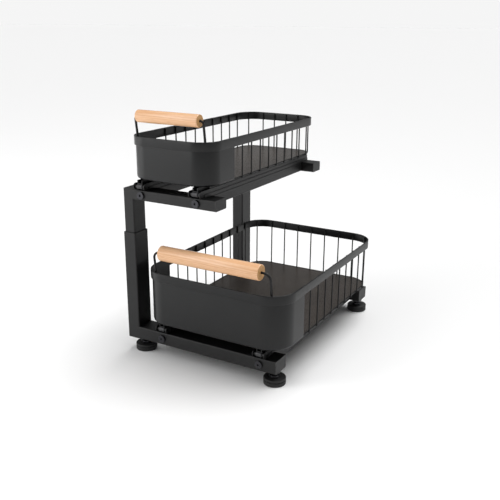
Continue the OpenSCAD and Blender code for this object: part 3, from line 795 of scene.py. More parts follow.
@dataclass(frozen=True)
class RoundedOutline:
    """A basket's outline in plan, in metres: two corner points and a corner radius."""

    left: float
    front: float
    right: float
    rear: float
    radius: float
    steps: int = 28

    def turns(self, inset: float) -> list[np.ndarray]:
        """The quarter turns round the four corners.

        Args:
            inset: how far they are moved in.

        Returns:
            Their points in plan, counter-clockwise from the front left corner's.
        """
        r, reach = self.radius, self.radius - inset
        middles = (
            (self.left + r, self.front + r),
            (self.right - r, self.front + r),
            (self.right - r, self.rear - r),
            (self.left + r, self.rear - r),
        )
        quarter = np.linspace(0, math.pi / 2, self.steps + 1)
        turns = []
        for (x, y), start in zip(middles, (1.0, 1.5, 0.0, 0.5)):
            angle = start * math.pi + quarter
            turns.append(np.stack([x + reach * np.cos(angle), y + reach * np.sin(angle)], axis=1))
        return turns

    def whole(self, inset: float) -> np.ndarray:
        """The closed outline moved in by inset, counter-clockwise from the front left."""
        return np.concatenate(self.turns(inset))

    def front_run(self, inset: float, reach: float) -> np.ndarray:
        """The outline round the front.

        Args:
            inset: how far it is moved in.
            reach: how far behind the front it starts and ends.

        Returns:
            Its points in plan, from the left side round to the right.
        """
        start = [[self.left + inset, self.front + reach]]
        end = [[self.right - inset, self.front + reach]]
        return np.concatenate([start, *self.turns(inset)[:2], end])

    def rear_run(self, inset: float, reach: float) -> np.ndarray:
        """The outline round the rear.

        Args:
            inset: how far it is moved in.
            reach: how far behind the front it starts and ends.

        Returns:
            Its points in plan, from the right side round to the left.
        """
        start = [[self.right - inset, self.front + reach]]
        end = [[self.left + inset, self.front + reach]]
        return np.concatenate([start, *self.turns(inset)[2:], end])


def swept(profile: Sequence[Pair], run: Callable[[float], np.ndarray]) -> list[np.ndarray]:
    """Rings of a cross section carried along an outline.

    Args:
        profile: the section's points as (inset, height), in metres.
        run: gives the outline for an inset.

    Returns:
        One ring for each point of the outline.
    """
    lines = [(run(inset), height) for inset, height in profile]
    total = len(lines[0][0])
    return [
        np.array([(line[i][0], line[i][1], height) for line, height in lines])
        for i in range(total)
    ]


def arc_points(centre: Pair, radius: float, start: float, end: float, steps: int) -> list[Pair]:
    """The steps + 1 points on an arc in a section, from and to angles in degrees."""
    turns = np.radians(np.linspace(start, end, steps + 1))
    return [(centre[0] + radius * math.cos(t), centre[1] + radius * math.sin(t)) for t in turns]


def finish_piece(
    piece: bpy.types.Object,
    body: str,
    materials: Sequence[bpy.types.Material],
    stands_for: Sequence[str] = (),
) -> None:
    """Dresses a piece, lets it ride and reports it.

    Args:
        piece: the piece.
        body: the body it moves with.
        materials: its materials, in the order of its faces' marks.
        stands_for: the solids that it is shown instead of.
    """
    for material in materials:
        piece.data.materials.append(material)
    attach(piece, body)
    if stands_for:
        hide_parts(*stands_for)
    LOG.info("%s: %d faces on %s", piece.name, len(piece.data.polygons), body)


# ---------------------------------------------------------------- baskets


@dataclass(frozen=True)
class BeadPair:
    """Two weld beads, one on each side of a wire, where it meets another piece."""

    towards_mm: float
    beside_mm: float
    half_mm: Triple

    def lay(self, book: MeshBook, at: Triple, way: Pair) -> None:
        """Adds the two beads to a mesh.

        Args:
            book: the mesh.
            at: the wire's axis at the beads' height, in metres.
            way: the direction in plan from the wire to the piece that it meets.
        """
        x, y, z = at
        ahead, beside = self.towards_mm * MM, self.beside_mm * MM
        half_x, half_y, half_z = (half * MM for half in self.half_mm)
        for side in (-beside, beside):
            middle = (x + way[0] * ahead - way[1] * side, y + way[1] * ahead + way[0] * side, z)
            book.loft(dot_rings(middle, (half_x, half_y, half_z)))


@dataclass
class Basket:
    """One basket: rim strip, wrapped sheet front, floor, rod, wires, handle and welds.

    The front sheet runs back along the sides by wrap_mm. The first side wire stands
    first_wire_mm behind the front, and every wire ends wire_gap_mm below the rim's top.
    """

    tier: Tier
    corner_mm: float
    first_wire_mm: float
    back_wires: int
    back_pitch_mm: float
    bend_beside_grip_mm: float
    rim_height_mm: float = 15.0
    rim_mm: float = 2.5
    rim_edge_mm: float = 0.55
    sheet_mm: float = 1.2
    sheared_edge_mm: float = 0.35
    foot_bend_mm: float = 5.5
    flange_mm: float = 2.5
    wrap_mm: float = 81.0
    rod_mm: float = 3.0
    wire_mm: float = 2.5
    side_wires: int = 9
    side_pitch_mm: float = 31.0
    wire_gap_mm: float = 1.0
    wire_foot_mm: float = 2.0
    wire_head_mm: float = 3.0
    handle_wire_mm: float = 4.0
    handle_leg_mm: float = 35.0
    knee_gap_mm: float = 1.0
    knee_bend_mm: float = 9.0
    rim_beads: BeadPair = BeadPair(0.75, 1.0, (0.7, 0.7, 2.2))
    rod_beads: BeadPair = BeadPair(-1.1, 0.9, (0.8, 0.8, 1.3))
    leg_beads: BeadPair = BeadPair(0.9, 1.5, (0.9, 0.9, 4.0))
    leg_bead_drops_mm: Pair = (6.0, 26.0)
    edge_steps: int = 3
    lip_steps: int = 6
    bend_steps: int = 10
    wire_sides: int = 16
    handle_sides: int = 20
    outline: RoundedOutline = field(init=False)
    bottom: float = field(init=False)
    top: float = field(init=False)

    def __post_init__(self) -> None:
        """Reads the basket's place from its solids."""
        low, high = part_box(f"{self.tier.value}_basket_rim")
        self.outline = RoundedOutline(low.x, low.y, high.x, high.y, self.corner_mm * MM)
        self.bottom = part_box(f"{self.tier.value}_basket_panel")[0].z
        self.top = high.z

    @property
    def body(self) -> str:
        """The body that the basket is."""
        return f"{self.tier.value}_basket"

    def rim(self) -> MeshBook:
        """The strip round the basket's top, with its rolled mill edges.

        Returns:
            The strip's mesh.
        """
        thick, edge, steps = self.rim_mm * MM, self.rim_edge_mm * MM, self.edge_steps
        low, high = self.top - self.rim_height_mm * MM, self.top
        section = [
            *arc_points((thick - edge, low + edge), edge, 270, 360, steps),
            *arc_points((thick - edge, high - edge), edge, 0, 90, steps),
            *arc_points((edge, high - edge), edge, 90, 180, steps),
            *arc_points((edge, low + edge), edge, 180, 270, steps),
        ]
        return MeshBook.of(swept(section, self.outline.whole), joined=True)

    def panel(self) -> MeshBook:
        """The sheet front with its turned foot and flange.

        Returns:
            The panel's mesh.
        """
        sheet, bend = self.sheet_mm * MM, self.foot_bend_mm * MM
        outer, flange = self.rim_mm * MM, self.flange_mm * MM
        centre = (outer + bend, self.bottom + bend)
        tip, half = centre[0] + flange, sheet / 2
        lip, turn = self.lip_steps, self.bend_steps
        section = [
            *arc_points((outer + half, self.top - half), half, 0, 180, lip),
            *arc_points(centre, bend, 180, 270, turn),
            *arc_points((tip - half, self.bottom + half), half, 270, 450, lip),
            *arc_points(centre, bend - sheet, 270, 180, turn),
        ]
        reach = self.wrap_mm * MM
        return MeshBook.of(swept(section, lambda inset: self.outline.front_run(inset, reach)))

    def floor(self) -> MeshBook:
        """The sheet floor with its sheared and tumbled edge.

        Returns:
            The floor's mesh.
        """
        edge = self.sheared_edge_mm * MM
        inset = (self.rim_mm + self.wire_mm + self.rod_mm) * MM
        low = self.bottom + self.sheet_mm * MM
        high = low + self.sheet_mm * MM
        wall = [(inset + edge, low), (inset, low + edge)]
        wall += [(inset, high - edge), (inset + edge, high)]
        rings = []
        for moved_in, height in wall:
            flat = self.outline.whole(moved_in)
            rings.append(np.column_stack([flat, np.full(len(flat), height)]))
        return MeshBook.of(rings)

    def rod(self) -> MeshBook:
        """The rod round the foot of the sides and the rear.

        Returns:
            The rod's mesh.
        """
        radius = self.rod_mm / 2 * MM
        flat = self.outline.rear_run((self.rim_mm + self.wire_mm) * MM + radius, self.wrap_mm * MM)
        height = np.full(len(flat), self.bottom + radius)
        return MeshBook.of(tube_rings(np.column_stack([flat, height]), radius))

    def wire_places(self) -> list[tuple[float, float, float, float]]:
        """Where the upright wires stand.

        Returns:
            Each wire's x and y, and the direction in plan from it to the rim.
        """
        rim, inset = self.outline, (self.rim_mm + self.wire_mm / 2) * MM
        places = []
        for i in range(self.side_wires):
            y = rim.front + (self.first_wire_mm + i * self.side_pitch_mm) * MM
            places += [(rim.left + inset, y, -1.0, 0.0), (rim.right - inset, y, 1.0, 0.0)]
        # One wire stands in the middle of each rear corner's turn
        slant = math.sqrt(0.5)
        reach = (rim.radius - inset) * slant
        for x, way in ((rim.left + rim.radius, -1.0), (rim.right - rim.radius, 1.0)):
            places.append((x + way * reach, rim.rear - rim.radius + reach, way * slant, slant))
        middle = (rim.left + rim.right) / 2
        for i in range(self.back_wires):
            x = middle + (i - (self.back_wires - 1) / 2) * self.back_pitch_mm * MM
            places.append((x, rim.rear - inset, 0.0, 1.0))
        return places

    def wires(self) -> MeshBook:
        """The upright wires, each with a ring near its foot and its head.

        Returns:
            The wires' mesh.
        """
        up = (self.bottom, self.bottom + self.wire_foot_mm * MM)
        down = (self.top - self.wire_head_mm * MM, self.top - self.wire_gap_mm * MM)
        book = MeshBook()
        for x, y, _, _ in self.wire_places():
            path = np.array([(x, y, z) for z in up + down])
            book.loft(tube_rings(path, self.wire_mm / 2 * MM, self.wire_sides))
        return book

    def welds(self) -> MeshBook:
        """The weld beads that hold the wires and the handle's legs.

        Returns:
            The beads' mesh.
        """
        book = MeshBook()
        rim_middle = self.top - self.rim_height_mm / 2 * MM
        rod_middle = self.bottom + self.rod_mm / 2 * MM
        for x, y, to_x, to_y in self.wire_places():
            self.rim_beads.lay(book, (x, y, rim_middle), (to_x, to_y))
            self.rod_beads.lay(book, (x, y, rod_middle), (to_x, to_y))
        for x, y in self.leg_places():
            for drop in self.leg_bead_drops_mm:
                self.leg_beads.lay(book, (x, y, self.top - drop * MM), (0.0, -1.0))
        return book

    def leg_places(self) -> list[Pair]:
        """Where the handle's two legs stand.

        Returns:
            The x and y of each.
        """
        low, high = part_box(f"{self.tier.value}_handle")
        half = self.handle_wire_mm / 2 * MM
        return [(low.x + half, high.y - half), (high.x - half, high.y - half)]

    def handle(self) -> MeshBook:
        """The bent handle wire, from the foot of one leg to that of the other.

        Returns:
            The wire's mesh.
        """
        _, axis_y, axis_z = centre_of(f"{self.tier.value}_grip")
        (left, leg_y), (right, _) = self.leg_places()
        foot, knee = self.top - self.handle_leg_mm * MM, self.top + self.knee_gap_mm * MM
        corners = [
            (left, leg_y, foot),
            (left, leg_y, knee),
            (left, axis_y, axis_z),
            (right, axis_y, axis_z),
            (right, leg_y, knee),
            (right, leg_y, foot),
        ]
        knee_bend, bend = self.knee_bend_mm * MM, self.bend_beside_grip_mm * MM
        path = bent_path(corners, [knee_bend, bend, bend, knee_bend])
        return MeshBook.of(tube_rings(path, self.handle_wire_mm / 2 * MM, self.handle_sides))

    def build(self, materials: dict[Coat, bpy.types.Material]) -> None:
        """Builds and dresses every piece of the basket.

        Args:
            materials: the finishes by slot.
        """
        name = self.tier.value
        plan: list[tuple[str, MeshBook, Coat, list[str]]] = [
            ("rim_strip", self.rim(), Coat.PANEL, [f"{name}_basket_rim"]),
            ("sheet_front", self.panel(), Coat.PANEL, [f"{name}_basket_panel"]),
            ("sheet_floor", self.floor(), Coat.FLOOR, [f"{name}_basket_floor"]),
            ("foot_rod", self.rod(), Coat.WIRE, [f"{name}_basket_rod"]),
            ("upright_wires", self.wires(), Coat.WIRE, [f"{name}_basket_wires"]),
            ("handle_wire", self.handle(), Coat.WIRE, [f"{name}_handle"]),
            ("weld_beads", self.welds(), Coat.WIRE, []),
        ]
        for part, book, coat, nodes in plan:
            piece = book.make(f"{name}_{part}")
            finish_piece(piece, self.body, [materials[coat]], nodes)


@dataclass
class TurnedGrip:
    """One turned wooden grip on its handle wire."""

    tier: Tier
    bore_mm: float = 4.1
    edge_mm: float = 1.6
    mouth_mm: float = 0.5
    edge_steps: int = 6
    end_grain_steps: int = 2
    sides: int = 72

    def build(self) -> None:
        """Builds the grip with long grain on its side and end grain on its ends."""
        node = f"{self.tier.value}_grip"
        low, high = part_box(node)
        centre = centre_of(node)
        half, radius = (high.x - low.x) / 2, (high.z - low.z) / 2
        edge, mouth, bore = self.edge_mm * MM, self.mouth_mm * MM, self.bore_mm / 2 * MM
        right = arc_points((radius - edge, half - edge), edge, 90, 0, self.edge_steps)
        left = arc_points((radius - edge, edge - half), edge, 0, -90, self.edge_steps)
        # Mark 0 is long grain and mark 1 end grain: bore, mouth, end face and the first
        # steps of the rounded edge
        meet = self.end_grain_steps
        end_right = [(bore, half - mouth), (bore + mouth, half), *right[: meet + 1]]
        side = [*right[meet:], *left[:-meet]]
        end_left = [*left[-meet - 1 :], (bore + mouth, -half), (bore, mouth - half)]
        wall = [(bore, half - mouth), (bore, mouth - half)]
        book = MeshBook()
        for run, mark in ((end_right, 1), (side, 0), (end_left, 1), (wall, 1)):
            rings = [circle_ring(r, z, self.sides) for r, z in run]
            book.loft(placed(rings, centre, Turning.X), caps=False, mark=mark)
        piece = book.make(f"{self.tier.value}_turned_grip")
        weld_seams(piece)
        long_grain = TurnedBeech(
            f"lacquered_beech_long_grain_{self.tier.value}", "#e8bb92", "#dda87c", "#cb9366", centre
        )
        end_grain = TurnedBeech(
            f"lacquered_beech_end_grain_{self.tier.value}",
            "#c0935c",
            "#a87944",
            "#8f6333",
            centre,
            band_mm=2.6,
            roughness=0.55,
        )
        grains = [long_grain.material(), end_grain.material()]
        finish_piece(piece, f"{node}_roll", grains, [node])


# ---------------------------------------------------------------- feet and fasteners


@dataclass
class LevellingFoot:
    """One levelling foot: a rubber-soled disc and a threaded stud with its hexagon.

    The thread is thread_mm deep. The fields flank and crest give the slope of its flanks and
    the width of its crest. Over runout_mm at each end it fades to a smooth neck, whose depth
    is runout_share of the thread's.
    """

    place: str
    groove_mm: float = 1.5
    sole_mm: float = 7.0
    gap_mm: float = 1.0
    edge_mm: float = 1.2
    bore_mm: float = 10.04
    bore_cut_mm: float = 0.6
    seat_mm: float = 4.0
    tread_middle_mm: float = 4.0
    tread_rings_mm: Pair = (9.0, 13.4)
    tread_deep_mm: float = 0.6
    tread_flat_mm: float = 1.2
    pad_sides: int = 64
    edge_steps: int = 5
    lip_steps: int = 3
    stud_mm: float = 10.0
    tip_mm: float = 0.5
    hexagon_mm: float = 17.0
    hexagon_height_mm: float = 4.0
    hexagon_cut_mm: float = 0.7
    pitch_mm: float = 1.5
    thread_mm: float = 0.85
    flank: float = 2.6
    crest: float = 0.15
    runout_mm: float = 0.8
    runout_share: float = 0.9
    rows_a_turn: int = 8

    def middle(self) -> Pair:
        """The x and y of the foot's axis."""
        return centre_of(f"foot_{self.place}_pad")[:2]

    def pad(self, low: float, high: float, radius: float) -> MeshBook:
        """The disc, with two rings pressed into its sole and a groove round its side.

        Args:
            low: its underside, in metres.
            high: its top, in metres.
            radius: its radius, in metres.

        Returns:
            The disc's mesh.
        """
        edge, groove, gap = self.edge_mm * MM, self.groove_mm * MM, self.gap_mm * MM
        bore, bore_cut = self.bore_mm / 2 * MM, self.bore_cut_mm * MM
        sole, tall = self.sole_mm * MM, high - low
        deep, flat = self.tread_deep_mm, self.tread_flat_mm
        dip = ((0.0, 0.0), (deep, deep), (deep + flat, deep), (deep + flat + deep, 0.0))
        tread = [(self.tread_middle_mm * MM, 0.0)]
        for start in self.tread_rings_mm:
            tread += [((start + out) * MM, up * MM) for out, up in dip]
        section = [
            *tread,
            *arc_points((radius - edge, edge), edge, 270, 360, self.edge_steps),
            *arc_points((radius - edge / 2, sole - edge / 2), edge / 2, 0, 90, self.lip_steps),
            (radius - groove, sole),
            (radius - groove, sole + gap),
            *arc_points(
                (radius - edge / 2, sole + gap + edge / 2), edge / 2, 270, 360, self.lip_steps
            ),
            *arc_points((radius - edge, tall - edge), edge, 0, 90, self.edge_steps),
            (bore + bore_cut, tall),
            (bore, tall - bore_cut),
            (bore, self.seat_mm * MM),
        ]
        rings = [circle_ring(r, z, self.pad_sides) for r, z in section]
        return MeshBook.of(placed(rings, (*self.middle(), low)))

    def stud(self, pad_low: float, pad_high: float, top: float) -> MeshBook:
        """The stud with its hexagon and a helical thread.

        Args:
            pad_low: the disc's underside, in metres.
            pad_high: the disc's top, where the hexagon stands, in metres.
            top: the stud's top, in metres.

        Returns:
            The stud's mesh.
        """
        outer, tip = self.stud_mm / 2 * MM, self.tip_mm * MM
        pitch, runout_over = self.pitch_mm * MM, self.runout_mm * MM
        seat, start = pad_low + self.seat_mm * MM, pad_high + self.hexagon_height_mm * MM
        rings = [
            circle_ring(outer - tip, seat),
            circle_ring(outer, seat + tip),
            circle_ring(outer, pad_high),
            *hexagon_wall(self.hexagon_mm * MM, pad_high, start, self.hexagon_cut_mm * MM),
        ]
        total = int((top - start) / pitch * self.rows_a_turn)
        turn = np.arange(SIDES) / SIDES
        for row in range(total + 1):
            z = start + (top - start) * row / total
            phase = (z / pitch - turn) % 1.0
            # Flanks at 60 degrees between a narrow crest and a narrow root
            depth = np.clip(np.abs(phase - 0.5) * self.flank - self.crest, 0.0, 1.0)
            # The thread fades out towards its ends
            runout = min(1.0, (top - z) / runout_over, (z - start) / runout_over)
            cut = depth * runout + (1 - runout) * self.runout_share
            rings.append(circle_ring(outer - self.thread_mm * MM * cut, z))
        return MeshBook.of(placed(rings, (*self.middle(), 0.0)))

    def build(self, materials: dict[Coat, bpy.types.Material]) -> None:
        """Builds and dresses the foot.

        Args:
            materials: the finishes by slot.
        """
        node = f"foot_{self.place}"
        low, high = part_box(f"{node}_pad")
        stud_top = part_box(f"{node}_stud")[1].z
        pad = self.pad(low.z, high.z, (high.x - low.x) / 2).make(f"{node}_disc")
        finish_piece(pad, node, [materials[Coat.SOLE]], [f"{node}_pad"])
        stud = self.stud(low.z, high.z, stud_top).make(f"{node}_threaded_stud")
        finish_piece(stud, node, [materials[Coat.SCREW]], [f"{node}_stud"])


@dataclass
class FrontRollers:
    """A tier's two front rollers: a grey tread on a black hub that fills the track."""

    tier: Tier
    tread_mm: float = 11.0
    tread_across_mm: float = 8.4
    edge_mm: float = 0.7
    edge_steps: int = 5
    hub_mm: float = 19.2
    hub_across_mm: float = 5.6
    hub_edge_mm: float = 0.3
    bore_mm: float = 4.1
    sides: int = 40

    def centres(self) -> list[Triple]:
        """Where the two rollers are.

        Returns:
            The middle of each.
        """
        low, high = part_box(f"{self.tier.value}_front_rollers")
        half = self.hub_mm / 2 * MM
        middle = (low + high) / 2
        return [(x, middle.y, middle.z) for x in (low.x + half, high.x - half)]

    def half_outline(self) -> tuple[list[Pair], list[Pair]]:
        """One half of the roller's outline as radius and distance from its middle.

        Returns:
            The tread from its widest line inwards to the hub, and the hub out to the bore.
        """
        tread, radius = self.tread_mm / 2 * MM, self.tread_across_mm / 2 * MM
        hub, end, bore = self.hub_across_mm / 2 * MM, self.hub_mm / 2 * MM, self.bore_mm / 2 * MM
        edge, soft = self.edge_mm * MM, self.hub_edge_mm * MM
        corner = arc_points((radius - edge, tread - edge), edge, 0, 90, self.edge_steps)
        hub_half = [(hub, tread), (hub, end - soft), (hub - soft, end), (bore, end)]
        return [*corner, (hub, tread)], hub_half

    def build(self, materials: dict[Coat, bpy.types.Material]) -> None:
        """Builds and dresses the rollers.

        Args:
            materials: the finishes by slot.
        """
        tread, hub = self.half_outline()
        tread_back = [(radius, -away) for radius, away in tread[::-1]]
        hub_back = [(radius, -away) for radius, away in hub[::-1]]
        bore = [hub[-1], hub_back[0]]
        # Mark 0 is the grey tread and mark 1 the black hub
        book = MeshBook()
        for centre in self.centres():
            for run, mark in ((tread_back + tread, 0), (hub, 1), (hub_back, 1), (bore, 1)):
                rings = [circle_ring(radius, away, self.sides) for radius, away in run]
                book.loft(placed(rings, centre, Turning.X), caps=False, mark=mark)
        piece = book.make(f"{self.tier.value}_front_roller_pair")
        weld_seams(piece)
        finish_piece(
            piece,
            f"{self.tier.value}_rollers",
            [materials[Coat.ROLLER], materials[Coat.CAP]],
            [f"{self.tier.value}_front_rollers"],
        )


@dataclass
class FootNuts:
    """The lock nuts under the beams and the nuts welded inside them."""

    places: Sequence[Pair]
    beam_low: float
    flats_mm: float = 17.0
    hexagon_cut_mm: float = 0.7
    bore_mm: float = 10.1
    bore_cut_mm: float = 0.5
    lock_mm: float = 5.0
    wall_mm: float = 1.2
    weld_mm: float = 8.0

    def build(self, materials: dict[Coat, bpy.types.Material]) -> None:
        """Builds and dresses the nuts.

        Args:
            materials: the finishes by slot.
        """
        bore, cut = self.bore_mm / 2 * MM, self.bore_cut_mm * MM
        wall, weld, lock = self.wall_mm * MM, self.weld_mm * MM, self.lock_mm * MM
        book = MeshBook()
        for x, y in self.places:
            for low, high in ((-lock, 0.0), (wall, wall + weld)):
                rings = [
                    circle_ring(bore, low + cut),
                    circle_ring(bore + cut, low),
                    *hexagon_wall(self.flats_mm * MM, low, high, self.hexagon_cut_mm * MM),
                    circle_ring(bore + cut, high),
                    circle_ring(bore, high - cut),
                ]
                book.loft(placed(rings, (x, y, self.beam_low)), joined=True)
        piece = book.make("foot_hexagon_nuts")
        finish_piece(piece, "lower_frame", [materials[Coat.SCREW]], ["foot_nuts"])


@dataclass(frozen=True)
class Screw:
    """A screw along +Z with its seat at 0: a shank, a head and a hexagon socket.

    The socket's round mouth is lead_in times as wide as the hexagon's flats.
    """

    shank_mm: float
    head_mm: float
    tall_mm: float
    thread_mm: float = 6.0
    tip_mm: float = 0.6
    socket_mm: float = 4.0
    lead_in: float = 1.22
    lead_deep_mm: float = 0.15
    depth_mm: float = 2.0

    @property
    def mouth(self) -> float:
        """Radius of the round lead-in of the socket, in metres."""
        return self.socket_mm / 2 * MM * self.lead_in

    def head(self) -> list[np.ndarray]:
        """The head's rings, from its seat to the socket's mouth."""
        raise NotImplementedError

    def rings(self) -> list[np.ndarray]:
        """The whole screw's rings.

        Returns:
            The rings, from the end of its shank to the floor of its socket.
        """
        shank, thread, tip = self.shank_mm * MM, self.thread_mm / 2 * MM, self.tip_mm * MM
        head = self.head()
        face = head[-1][0][2]
        return [
            circle_ring(thread - tip, shank),
            circle_ring(thread, shank - tip),
            circle_ring(thread, 0.0),
            *head,
            hexagon_ring(self.socket_mm * MM, face + self.lead_deep_mm * MM),
            hexagon_ring(self.socket_mm * MM, (self.depth_mm - self.tall_mm) * MM),
        ]


@dataclass(frozen=True)
class ButtonScrew(Screw):
    """A screw with a domed head."""

    seat_cut_mm: float = 0.15
    edge_cut_mm: float = 0.02
    dome_rings: int = 9

    def head(self) -> list[np.ndarray]:
        """The domed head.

        Returns:
            Its rings, from its seat to the socket's mouth.
        """
        edge, tall = self.head_mm / 2 * MM, self.tall_mm * MM
        dome = (edge**2 + tall**2) / (2 * tall)
        rings = [circle_ring(edge - self.seat_cut_mm * MM, 0.0)]
        for radius in np.linspace(edge - self.edge_cut_mm * MM, self.mouth, self.dome_rings):
            rings.append(circle_ring(radius, -(math.sqrt(dome**2 - radius**2) - dome + tall)))
        return rings


@dataclass(frozen=True)
class FlatScrew(Screw):
    """A screw with a low flat head whose edge is rounded.

    The face dips by face_dip_mm at mouth_rim_mm from the socket's mouth, and by mouth_dip_mm
    at the mouth itself.
    """

    seat_cut_mm: float = 0.1
    edge_mm: float = 0.6
    edge_steps: int = 5
    mouth_rim_mm: float = 0.5
    face_dip_mm: float = 0.12
    mouth_dip_mm: float = 0.2

    def head(self) -> list[np.ndarray]:
        """The flat head: wall, rounded edge, and a face that dips a little.

        Returns:
            Its rings, from its seat to the socket's mouth.
        """
        wall, tall, edge = self.head_mm / 2 * MM, self.tall_mm * MM, self.edge_mm * MM
        cut = self.seat_cut_mm * MM
        rounded = arc_points((wall - edge, edge - tall), edge, 0, -90, self.edge_steps)
        section = [
            (wall - cut, 0.0),
            (wall, -cut),
            *rounded,
            (self.mouth + self.mouth_rim_mm * MM, self.face_dip_mm * MM - tall),
            (self.mouth, self.mouth_dip_mm * MM - tall),
        ]
        return [circle_ring(radius, height) for radius, height in section]


@dataclass
class Fasteners:
    """Every visible screw of the frame, and the beads that hold the lock bosses.

    A bead's section is a quarter round with legs of bead_leg_mm, whose ends are bead_toe of
    that thick. Its ripples stand ripple_share of a leg out and in.
    """

    grip_mm: float = 12.0
    rail_head_mm: float = 13.6
    rail_head_tall_mm: float = 3.0
    lock_head_mm: float = 10.5
    lock_head_tall_mm: float = 3.3
    boss_mm: float = 12.0
    boss_length_mm: float = 5.0
    lock_shank_mm: float = 6.9
    bead_leg_mm: float = 1.4
    bead_toe: float = 0.15
    bead_sunk_mm: float = 0.1
    bead_root_mm: float = 0.3
    bead_sides: int = 60
    bead_rings: int = 7
    ripples: int = 20
    ripple_share: float = 0.08

    def rail_screws(self, tier: Tier) -> MeshBook:
        """The screws through the beams into a tier's rails.

        Args:
            tier: the tier.

        Returns:
            The screws' mesh.
        """
        name = tier.value
        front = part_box(f"{name}_front_frame")
        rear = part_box(f"{name}_rear_frame")
        depth = front[1].y - front[0].y
        screw = FlatScrew(depth / MM + self.grip_mm, self.rail_head_mm, self.rail_head_tall_mm)
        book = MeshBook()
        for side in ("left", "right"):
            x, _, z = centre_of(f"{name}_{side}_rail")
            book.loft(placed(screw.rings(), (x, front[0].y, z), Turning.Y))
            book.loft(placed(screw.rings(), (x, rear[1].y, z), Turning.Y, flip=True))
        return book

    def boss_places(self) -> list[Triple]:
        """Where each lock boss meets its post.

        Returns:
            The x of the post's face, and the y and z of the boss's axis, for each.
        """
        low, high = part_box("height_lock_bosses")
        half = self.boss_mm / 2 * MM
        z = (low.z + high.z) / 2
        return [(high.x, low.y + half, z), (high.x, high.y - half, z)]

    def lock_screws(self) -> MeshBook:
        """The screws that clamp the inner posts.

        Returns:
            The screws' mesh.
        """
        screw = ButtonScrew(self.lock_shank_mm, self.lock_head_mm, self.lock_head_tall_mm)
        book = MeshBook()
        for x, y, z in self.boss_places():
            seat = (x - self.boss_length_mm * MM, y, z)
            book.loft(placed(screw.rings(), seat, Turning.X))
        return book

    def boss_beads(self) -> MeshBook:
        """The rippled weld bead round each lock boss.

        Returns:
            The beads' mesh.
        """
        radius, leg, toe = self.boss_mm / 2 * MM, self.bead_leg_mm * MM, self.bead_toe
        foot, root = radius - self.bead_sunk_mm * MM, radius - self.bead_root_mm * MM
        turn = np.arange(self.bead_sides) * 2 * math.pi / self.bead_sides
        ripple = 1 + self.ripple_share * np.cos(turn * self.ripples)
        rings = []
        for lean in np.radians(np.linspace(0, 90, self.bead_rings)):
            out = leg * (toe + (1 - toe) * math.cos(lean)) * ripple
            back = leg * (toe + (1 - toe) * math.sin(lean)) * ripple
            rings.append(circle_ring(foot + out, -back, self.bead_sides))
        rings.append(circle_ring(root, 0.0, self.bead_sides))
        book = MeshBook()
        for place in self.boss_places():
            book.loft(placed(rings, place, Turning.X), joined=True)
        return book

    def build(self, materials: dict[Coat, bpy.types.Material]) -> None:
        """Builds and dresses the fasteners.

        Args:
            materials: the finishes by slot.
        """
        zinc = [materials[Coat.SCREW]]
        for tier in Tier:
            piece = self.rail_screws(tier).make(f"{tier.value}_flat_screws")
            nodes = [f"{tier.value}_rail_screws"]
            finish_piece(piece, f"{tier.value}_frame", zinc, nodes)
        piece = self.lock_screws().make("height_button_screws")
        finish_piece(piece, "lower_frame", zinc, ["height_lock_screws"])
        piece = self.boss_beads().make("lock_boss_weld_beads")
        finish_piece(piece, "lower_frame", [materials[Coat.FRAME]])


# ---------------------------------------------------------------- carried solids


@dataclass
class CarriedSolids:
    """The solids whose shape is right, dressed in their own finishes."""

    record: dict
    nodes: dict[str, bpy.types.Object]

    def dress(self, materials: dict[Coat, bpy.types.Material]) -> None:
        """Puts each shown solid's finish on it.

        Args:
            materials: the finishes by slot.
        """
        slots = {part["node"]: part["material_slot"] for part in self.record["subparts"]}
        for name, solid in self.nodes.items():
            if solid.hide_render:
                continue
            material = materials[Coat(slots[name])]
            if not solid.material_slots:
                solid.data.materials.append(material)
            for place in solid.material_slots:
                place.material = material
            LOG.info("%s: carried solid in %s", name, material.name)


# ---------------------------------------------------------------- studio


@dataclass(frozen=True)
class SoftBox:
    """A soft light: where it stands, what it looks at, its width, height, power and roll."""

    name: str
    at: Triple
    towards: Triple
    wide: float
    tall: float
    watts: float
    roll: float = 0.0


